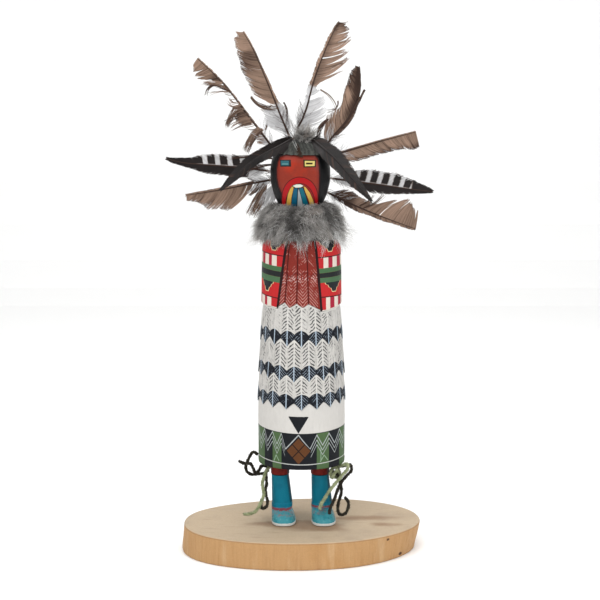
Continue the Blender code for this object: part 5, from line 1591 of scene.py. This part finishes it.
def make_feather(name, entry, finish, seed):
    """A tapered shaft with two vanes of barbs. A barb leaves the shaft at a slant, bends to the
    tip and ends on the vane's outline; barbs hang together in groups that narrow outward, so
    that the edge splits. Loose wavy down stands round the quill."""
    depth, curve, _, left, right = entry
    line, length = shaft_line(entry)
    s_line = np.linspace(0, 1, len(line))
    tangent = unit(np.gradient(line, axis=0))
    steps = len(left) - 1
    share = np.clip((s_line * steps - 3) / (steps - 3), 0, 1)
    draped = name in DRAPED
    y_line = lookup(depth, s_line) if draped else depth + curve * share ** 2
    rng = np.random.default_rng(100 + seed)
    spacing, split, ragged, down_end = CHARACTER[name]

    def at(s):
        """Place in the front view, direction and depth of the shaft at a share of it."""
        s = np.clip(s, 0, 1)
        p = np.stack([np.interp(s, s_line, line[:, k]) for k in (0, 1)], -1)
        t = unit(np.stack([np.interp(s, s_line, tangent[:, k]) for k in (0, 1)], -1))
        return p, t, np.interp(s, s_line, y_line)

    stations = np.linspace(0, 1, len(left))
    parts = [quill(at, draped)]
    v = np.linspace(0, 1, 9)[None, :]
    for side, widths in ((1, left), (-1, right)):
        gaps = GAPS.get(name, ()) if max(widths) > 5 else ()
        s0 = barb_places(rng, (1.6 if draped else 2.6) / steps, spacing / length, gaps)
        number = len(s0)
        slant = np.interp(s0, *SLANTS.get(name, PLAIN_SLANT))
        reach_w = np.interp(s0, stations, widths)
        for _ in range(4):
            ahead = np.clip(s0 + slant * reach_w / length * 0.95, 0, 1)
            reach_w = np.interp(ahead, stations, widths)
        reach_w = np.maximum(reach_w, 0.5)
        run = s0 * length
        offset, clump, pick = barb_groups(rng, run, split, seed, side)
        open_up = (pick - 0.5) * split * 0.45
        reach_w = reach_w * (1 + ragged * 0.35 * (pick - 0.6) + rng.normal(0, 0.03, number))
        reach_w = reach_w * (1 - 0.08 * split * (np.abs(offset) / clump * 2) ** 2)
        downy = ease(s0, down_end + 0.03, down_end - 0.03)[:, None]
        across = reach_w[:, None] * (v - 0.06 * v ** 3)
        lean = slant[:, None] + open_up[:, None] * v ** 1.5
        forward = reach_w[:, None] * lean * (0.55 * v + 0.42 * v ** 2.2)
        forward = forward - (0.06 + 0.34 * split * pick)[:, None] * offset[:, None] * v ** 2
        curl = downy * (0.10 + 0.11 * v) * reach_w[:, None] * np.sin(
            v * 7 + rng.uniform(0, 6, (number, 1)))
        p, t, _ = at(s0)
        n2 = np.stack([-t[:, 1], t[:, 0]], -1) * side
        flat = (p[:, None] + t[:, None] * (forward + curl)[..., None]
                + n2[:, None] * (across + 0.55 * curl)[..., None])
        _, _, vane_y = at(s0[:, None] + forward / length)
        ripple = noise_line(run[:, None] + forward, 6.0, seed + side)
        vane_y = vane_y + 0.06 * across + 0.25 * ripple * v
        vane_y = vane_y + (0.35 * split * (pick - 0.5))[:, None] * v ** 2 * 2
        if draped:
            lower = 1 if name.endswith("left") else -1
            tilt = np.interp(s0, [0.1, 0.25, 0.5, 0.7], [0.9, 0.75, 0.25, 0.0])[:, None]
            vane_y = vane_y - side * lower * tilt * across
        vane_y = vane_y + downy * rng.normal(0, 0.8, (number, 1)) * v ** 1.3
        vane_y = vane_y + 0.10 * (np.arange(number)[:, None] % 2) * v
        centre = standing(flat[..., 0], vane_y, flat[..., 1])
        along = unit(np.gradient(centre, axis=1))
        face = np.array((0.0, -1.0, 0.0))
        cross = unit(unit(np.cross(along, face)) + 0.28 * face)
        full = spacing * (1.75 - 0.25 * v) * (1 - 0.75 * downy * v ** 0.5)
        p3, f3 = ribbons(centre, cross, full * np.where(v > 0.86, 0.55, 1.0))
        here = s0[:, None] + forward / length
        edge = np.exp(-((np.abs(offset) / clump - 0.5) / 0.10) ** 2)[:, None] * v ** 0.7
        levels = barb_tones(rng, name, seed, side, here, v, run, forward, edge, pick)
        parts.append((p3, f3, {key: per_point(q, here.shape) for key, q in levels.items()}))
    if not draped:
        parts.append(loose_down(at, rng, 120 if name in DOWNY else 55))
    for tuft in STRAYS.get(name, ()):
        parts.append(stray_barbs(rng, depth if not draped else 0.0, *tuft))
    points, faces, fields = join(*parts)
    piece(name + "_barbs", points, faces, finish, [name], fields)


def stray_barbs(rng, depth, start, bend, end, wide, count, dark):
    """Barbs that hang off on their own: each runs from start to end by way of the bend along a
    quadratic curve, set apart across it by up to half the width and drawn together at the
    start."""
    t = np.linspace(0, 1, 10)[None, :, None]
    a, b, c = (np.array(q, float) + rng.normal(0, s, (count, 2))
               for q, s in ((start, 0.25), (bend, 0.5), (end, 0.7)))
    line = bent(a[:, None], b[:, None], c[:, None], t)
    way = np.array(end, float) - np.array(start, float)
    normal = unit(np.array((-way[1], way[0])))
    spread = wide * (rng.uniform(-0.5, 0.5, (count, 1, 1)) * np.minimum(0.3 + 1.4 * t, 1.0))
    line = line + normal * spread
    level = depth - 0.6 + rng.normal(0, 0.5, (count, 1)) * t[..., 0]
    centre = standing(line[..., 0], level, line[..., 1])
    cross = unit(np.cross(unit(np.gradient(centre, axis=1)), (0.0, -1.0, 0.15)))
    points, faces = ribbons(centre, cross, STRAY_WIDTH * (1 - 0.75 * t[..., 0] ** 2))
    tone = per_point(dark + rng.normal(0, 0.15, count), count, 20)
    return points, faces, {"dark": tone, "pale": 0.95 * (dark < 0), "black": 0.0,
                           "tint": per_point(rng.normal(0.48, 0.1, count), count, 20)}


def loose_down(at, rng, n):
    """Wavy plumes round the quill: each leaves it at a slant, waves and thins to nothing."""
    v = np.linspace(0, 1, 9)[None, :]
    s0 = rng.uniform(0.05, 0.26, n)
    side = np.where(rng.uniform(0, 1, n) < 0.5, -1.0, 1.0)
    reach = rng.uniform(3.5, 9.5, n)[:, None] * (1 - 0.4 * (s0[:, None] < 0.1))
    p, t, y = at(s0)
    n2 = np.stack([-t[:, 1], t[:, 0]], -1) * side[:, None]
    wave = reach * 0.07 * np.sin(v * rng.uniform(5, 9, (n, 1)) + rng.uniform(0, 6, (n, 1))) * v
    flat = (p[:, None] + t[:, None] * (reach * (0.75 * v + 0.2 * v ** 2) + wave)[..., None]
            + n2[:, None] * (reach * (0.72 * v ** 0.9) - wave)[..., None])
    depth = y[:, None] + rng.normal(0, 1.6, (n, 1)) * v
    centre = standing(flat[..., 0], depth, flat[..., 1])
    cross = unit(np.cross(unit(np.gradient(centre, axis=1)), (0.0, -1.0, 0.2)))
    points, faces = ribbons(centre, cross, PLUME_WIDTH * (1 - 0.6 * v))
    dark = (rng.uniform(0, 1, n) < 0.24) * 0.9
    return points, faces, {"dark": per_point(dark, n, 18), "black": 0.0,
                           "pale": per_point(np.where(dark > 0, 0.0, 0.95), n, 18),
                           "tint": per_point(rng.normal(0.47, 0.06, n), n, 18)}


FEATHER_FINISHES = {
    "brown_feather": feather_finish("brown_vane", 0.62),
    "barred_feather": feather_finish("barred_vane", 0.6),
    "black_feather": feather_finish("black_vane", 0.42, 0.3),
}
for index, (key, entry) in enumerate({**FAN, **DRAPED}.items()):
    kind = ("black_feather" if key in DRAPED else
            "barred_feather" if key in BARRED else "brown_feather")
    make_feather(key, entry, FEATHER_FINISHES[kind], index)


# ---- fur

def fur_finish(name, root, tip, brown):
    """Hair from its root's colour to its tip's, with warm and white hairs by their fields."""
    f = Finish(name, root, 0.9, 0.15, 0.1)
    f.lay(f.field("along").between(0.05, 0.85), tip)
    f.lay(f.field("warm").between(0.3, 1.0), brown)
    f.lay(f.field("white").between(0.3, 0.9), rgb(214, 214, 212))
    f.shade(f.field("tint") - 0.5, 1.25)
    f.shade(f.noise(0.13, 3), 0.22)
    return f.done()


def tufted(rng, seeds, normals, count, spread, length, fall, width, k=7, tone=0.5, loose=0.7):
    """Fur in tufts: hairs spring up round each seed point, bow along its normal and draw
    together towards one tip that hangs over, with a fine wave in each."""
    m = len(seeds)
    swirl = rng.normal(0, 0.34, (m, 3))
    reach = length * rng.uniform(0.75, 1.25, m)
    tip = normals * 0.55 + fall * 0.72 + swirl
    shade = np.broadcast_to(tone, m) + rng.normal(0, 0.13, m)
    warm = np.clip(rng.normal(0.25, 0.4, m), 0, 1)
    i = rng.integers(0, m, count)
    off = rng.normal(0, spread, (count, 3))
    off = off - normals[i] * np.sum(off * normals[i], 1, keepdims=True)
    own = (reach[i] * rng.uniform(0.6, 1.15, count))[:, None]
    start = seeds[i] + off
    end = seeds[i] + off * 0.65 + own * tip[i] + rng.normal(0, loose, (count, 3))
    bow = start + own * (normals[i] * 0.55 + swirl[i] * 0.5)
    t = np.linspace(0, 1, k)[None, :, None]
    line = bent(start[:, None], bow[:, None], end[:, None], t)
    wave = np.sin(t * rng.uniform(4, 9, (count, 1, 1)) + rng.uniform(0, 6, (count, 1, 1)))
    line = line + rng.normal(0, 0.42, (count, 1, 3)) * wave * t
    side = unit(np.cross(unit(end - start), rng.normal(0, 1, (count, 3))))[:, None]
    points, faces = ribbons(line, side, (1 - 0.7 * t[..., 0] ** 1.5) * width)
    hair = (count, 2 * k)
    fields = {"along": per_point(t[..., 0], (count, k)),
              "tint": per_point(shade[i] + rng.normal(0, 0.12, count), *hair),
              "warm": per_point(warm[i] * rng.uniform(0.3, 1.0, count), *hair),
              "white": per_point((rng.uniform(0, 1, count) < 0.05) * 0.8, *hair)}
    return points, faces, fields


RUFF_X, RUFF_DEPTH = -0.4, 0.89


def around(angle, radius, height):
    """Points at an angle from the front round the neck, the ring a little flat front to back."""
    return standing(radius * np.sin(angle) + RUFF_X, -RUFF_DEPTH * radius * np.cos(angle), height)


def outward(angle):
    """Level directions away from the neck at angles from the front."""
    return around(angle, 1.0, 0.0) - around(angle, 0.0, 0.0)


def closeness(angle, middle, width):
    """1 at a middle angle, falling off like a bell with its width."""
    return np.exp(-(np.angle(np.exp(1j * (angle - middle))) / width) ** 2)


def lobes(angle):
    """The wavy swell of the collar round the neck."""
    return 0.9 * np.sin(5 * angle + 0.8) + 0.7 * np.sin(9 * angle + 2.0)


# the collar's section from the jaw over the shoulder to its lower rim: radius and height
RUFF_SECTION = np.array([
    (15.5, 223.0), (17.8, 225.4), (21.2, 225.2), (25.0, 221.2), (27.4, 215.0),
    (27.8, 209.6), (27.2, 205.9),
])
PARTING = -0.20  # angle at which the fur parts


def ruff_trim(angle, share):
    """How far the collar stands inward and how far its lower edge is lifted, most at the right."""
    right, left = closeness(angle, 1.45, 0.75), closeness(angle, -1.45, 0.6)
    inward = right * (0.8 + 2.9 * share) + left * (1.6 - 0.8 * share)
    return inward, (4.6 * right + 2.6 * left) * share


def make_ruff():
    """A fur collar: tufts spread by the golden angle over a section that runs from the jaw over the
    shoulder, set back at one parting and darkened there with painted shade, with a painted shadow
    patch and a painted light patch in its tone, and with wisps at the rim and front."""
    rng = np.random.default_rng(41)
    m = 330
    a = (np.arange(m) * GOLDEN_ANGLE) % (2 * np.pi)
    v = (np.arange(m) + 0.5) / m
    run = np.linspace(0, 1, len(RUFF_SECTION))
    radius = np.interp(v, run, RUFF_SECTION[:, 0]) + lobes(a) * np.clip(v * 2, 0, 1)
    height = np.interp(v, run, RUFF_SECTION[:, 1]) + 0.9 * np.sin(4 * a) * v
    gap = closeness(a, PARTING, 0.11)
    inward, lift = ruff_trim(a, v)
    radius = radius - 3.6 * gap - inward
    height = height + lift
    slope = np.gradient(RUFF_SECTION, axis=0)
    out_r = np.interp(v, run, -slope[:, 1])
    out_z = np.interp(v, run, slope[:, 0])
    size = np.hypot(out_r, out_z)
    direction = outward(a)
    normals = unit(direction * (out_r / size)[:, None] + np.outer(out_z / size, (0, 0, 1)))
    aside = np.sin(a - PARTING)
    away = np.sign(aside) * np.exp(-(aside / 0.5) ** 2) * (np.cos(a) > 0)
    fall = unit(np.stack([0.5 * away, 0 * a, -1.0 + 0 * a], -1) + 0.25 * direction)
    seeds = around(a, radius, height)
    # the tone holds painted shade in the parting, a painted shadow patch on the collar's right and
    # a painted light patch just right of the front
    painted_shadow_patch = closeness(a, 0.80, 0.17) * np.exp(-((v - 0.55) / 0.3) ** 2)
    painted_light_patch = closeness(a, 0.28, 0.2)
    tone = (0.56 - 0.78 * gap ** 0.5 - 0.78 * painted_shadow_patch + 0.34 * painted_light_patch
            + 0.14 * np.sin(6 * a + 1) * np.sin(6 * v + 2 * a))
    short = 5.4 - 1.6 * (v < 0.35) - 1.9 * gap
    parts = [tufted(rng, seeds, normals, 26000, 2.0, short, fall, 0.22, 7, tone, 1.15)]

    a = rng.uniform(0, 2 * np.pi, 90)
    seeds = around(a, np.full(90, 27.5), rng.uniform(203, 214, 90))
    direction = unit(outward(a))
    fall = unit(direction * 0.2 + (0, 0, -1) + rng.normal(0, 0.3, (90, 3)))
    p, f, fields = tufted(rng, seeds, direction, 950, 2.2, 9.0, fall, 0.15, 8, 0.62, 1.6)
    fields["white"] = np.clip(fields["white"] + 0.55 + 0.4 * np.sin(np.arange(len(p)) // 16), 0, 1)
    parts.append((p, f, fields))
    a = np.append(rng.normal(0.03, 0.17, 14), rng.normal(0.85, 0.2, 12))
    seeds = around(a, np.full(26, 29.4), rng.uniform(203, 209, 26))
    fall = unit((0, -0.1, -1) + rng.normal(0, 0.22, (26, 3)))
    flat = unit(outward(a)) * 0.2
    p, f, fields = tufted(rng, seeds, flat, 380, 1.2, 7.5, fall, 0.18, 8, 0.66, 0.8)
    fields["white"] = np.full(len(p), 0.85)
    parts.append((p, f, fields))

    rows, columns = 26, 120
    a = circle(columns)[None, :]
    w = np.linspace(0, 1, rows)[:, None]
    inner = np.array([(27.6, 203.0), (27.4, 207.0), (22.0, 210.8), (14.5, 211.2), (14.2, 224.0),
                      (15.5, 225.0)])
    loop = np.vstack([RUFF_SECTION, inner])
    share = np.linspace(0, 1, len(loop))
    radius = np.interp(w, share, loop[:, 0]) + 0 * a
    height = np.interp(w, share, loop[:, 1]) + 0 * a
    outside = ease(radius, 20.0, 26.0) * (w < 0.55)
    swell = np.minimum(lobes(a) * outside, 0.6)
    gap = closeness(a, PARTING, 0.13) * outside
    inward, lift = ruff_trim(a, np.clip(w / 0.5, 0, 1))
    core = around(a, radius + swell - 3.4 * gap - (0.4 + inward) * outside,
                  height + lift * outside)
    parts.append((core.reshape(-1, 3), grid_faces(rows, columns)[:, ::-1],
                  {"along": 0.15, "tint": 0.30, "warm": 0.3, "white": 0.0}))
    points, faces, fields = join(*parts)
    fur = fur_finish("grey_fur_hair", rgb(104, 101, 99), rgb(172, 169, 165), rgb(138, 120, 106))
    piece("ruff_fur", points, faces, fur, ["fur_ruff"], fields)
    return fur


CROWN, CROWN_Z = (1.4, -3.8), 271.0


def make_crown(fur):
    """A small tuft of fur on top of the head: tufts fan up and out of a dome."""
    rng = np.random.default_rng(52)
    m = 46
    turn = (np.arange(m) * GOLDEN_ANGLE) % (2 * np.pi)
    tilt = np.arccos(1 - 0.95 * (np.arange(m) + 0.5) / m)
    normals = np.stack([np.sin(turn) * np.sin(tilt), -np.cos(turn) * np.sin(tilt),
                        np.cos(tilt)], -1)
    seeds = normals * (3.4, 3.0, 4.6) + (*CROWN, CROWN_Z + STAND)
    fall = unit(normals + (0, 0, -0.3) + rng.normal(0, 0.3, (m, 3)))
    hairs = tufted(rng, seeds, normals, 2500, 0.9, 4.0, fall, 0.24, 7, 0.62, 0.5)
    rows, columns = 12, 40
    a = circle(columns)[None, :]
    w = np.linspace(0.02, np.pi / 2 + 0.5, rows)[:, None]
    dome = standing(3.6 * np.sin(w) * np.sin(a) + CROWN[0],
                    -3.2 * np.sin(w) * np.cos(a) + CROWN[1], 4.8 * np.cos(w) + CROWN_Z)
    core = (dome.reshape(-1, 3), grid_faces(rows, columns)[:, ::-1],
            {"along": 0.3, "tint": 0.3, "warm": 0.3, "white": 0.0})
    points, faces, fields = join(hairs, core)
    piece("crown_fur", points, faces, fur, ["fur_crown"], fields)


def head_front(x, z):
    """How far forward the head's surface lies at a point of the front view."""
    half = head_half(z)
    share = np.minimum(0.98, np.abs((x - HEAD_X) / half))
    return -half * DEPTH_RATIO * (1 - share ** HEAD_POWER) ** (1 / HEAD_POWER)


BROW_X = -1.7  # middle of the forehead's feathers
BARB_WIDTH = 0.24


def make_forehead():
    """Small soft feathers laid down over the forehead in rows, each a short shaft with fine
    barbs."""
    rng = np.random.default_rng(63)
    parts, plan = [], []
    for z, half, count in ((267.2, 9.4, 8), (268.8, 9.6, 8), (270.4, 8.0, 6), (271.8, 6.0, 5)):
        for x in np.linspace(-half, half, count):
            plan.append((x + BROW_X + rng.normal(0, 0.7), z + rng.normal(0, 0.4), 0,
                         rng.uniform(5.0, 6.6)))
    # kind 1 is a brown feather tip over the brow, kind 2 a pale wisp
    plan += [(-3.0, 269.8, 1, 10.6), (-6.2, 271.6, 2, 8.0), (-5.0, 272.0, 2, 6.6)]
    for x0, z0, kind, size in plan:
        m, k = 56, 6
        # the order of the draws stays the same for every kind
        lean = 0.03 * (x0 - BROW_X) + rng.normal(0, 0.10)
        lean = (lean, 0.26, 0.42)[kind]
        s = np.linspace(0, 1, m)
        spine_x = x0 + size * lean * s
        spine_z = z0 - size * s * 0.86
        for side in (-1, 1):
            v = np.linspace(0, 1, k)[None, :]
            width = (2.9, 2.2, 0.55)[kind] * np.sin(np.pi * (0.10 + 0.86 * s)) ** 0.6
            width = width[:, None] * (1 + rng.normal(0, 0.08, (m, 1)))
            x = spine_x[:, None] + side * width * v
            z = spine_z[:, None] - 1.5 * v ** 1.3 * width * 0.6 + rng.normal(0, 0.08, (m, 1))
            z = np.clip(z, 259.5 if kind else 261.9, 273.0)
            lift = 0.55 + 0.9 * s[:, None] * (1 - s[:, None]) + (1.0 if kind else 0.35) * (1 - v)
            y = head_front(x, z) - 0.5 - lift * 0.7 + rng.normal(0, 0.1, (m, 1))
            centre = standing(x, y, z)
            along = unit(np.gradient(centre, axis=1))
            cross = unit(np.cross(along, (0.0, -1.0, 0.0)))
            p, f = ribbons(centre, cross, BARB_WIDTH * (1 - 0.45 * v))
            tint = per_point(rng.normal(0.5, 0.11, (m, 1)), (m, k))
            warm = 1.0 if kind == 1 else rng.uniform(0, 0.5)
            parts.append((p, f, {"along": per_point(0.25 + 0.75 * v, (m, k)), "tint": tint,
                                 "warm": warm, "white": 0.62 * (kind == 2)}))
    rows, columns = 24, 40
    u = np.linspace(-1, 1, columns)[None, :]
    z = np.linspace(262.6, 272.0, rows)[:, None]
    half = np.interp(z, [262.0, 266.0, 269.0, 272.0], [9.4, 9.6, 8.2, 4.8])
    x = BROW_X + half * u
    y = head_front(x, z + 0 * x) - 0.7 - 0.5 * (1 - u ** 2)
    under = standing(x, y, z).reshape(-1, 3)
    parts.append((under, grid_faces(rows, columns, False),
                  {"along": 0.2, "tint": 0.35, "warm": 0.2, "white": 0.0}))
    points, faces, fields = join(*parts)
    down = fur_finish("grey_down", rgb(50, 51, 50), rgb(94, 96, 91), rgb(56, 42, 34))
    piece("forehead_down", points, faces, down, ["forehead_feathers"], fields)


ruff_fur = make_ruff()
make_crown(ruff_fur)
make_forehead()
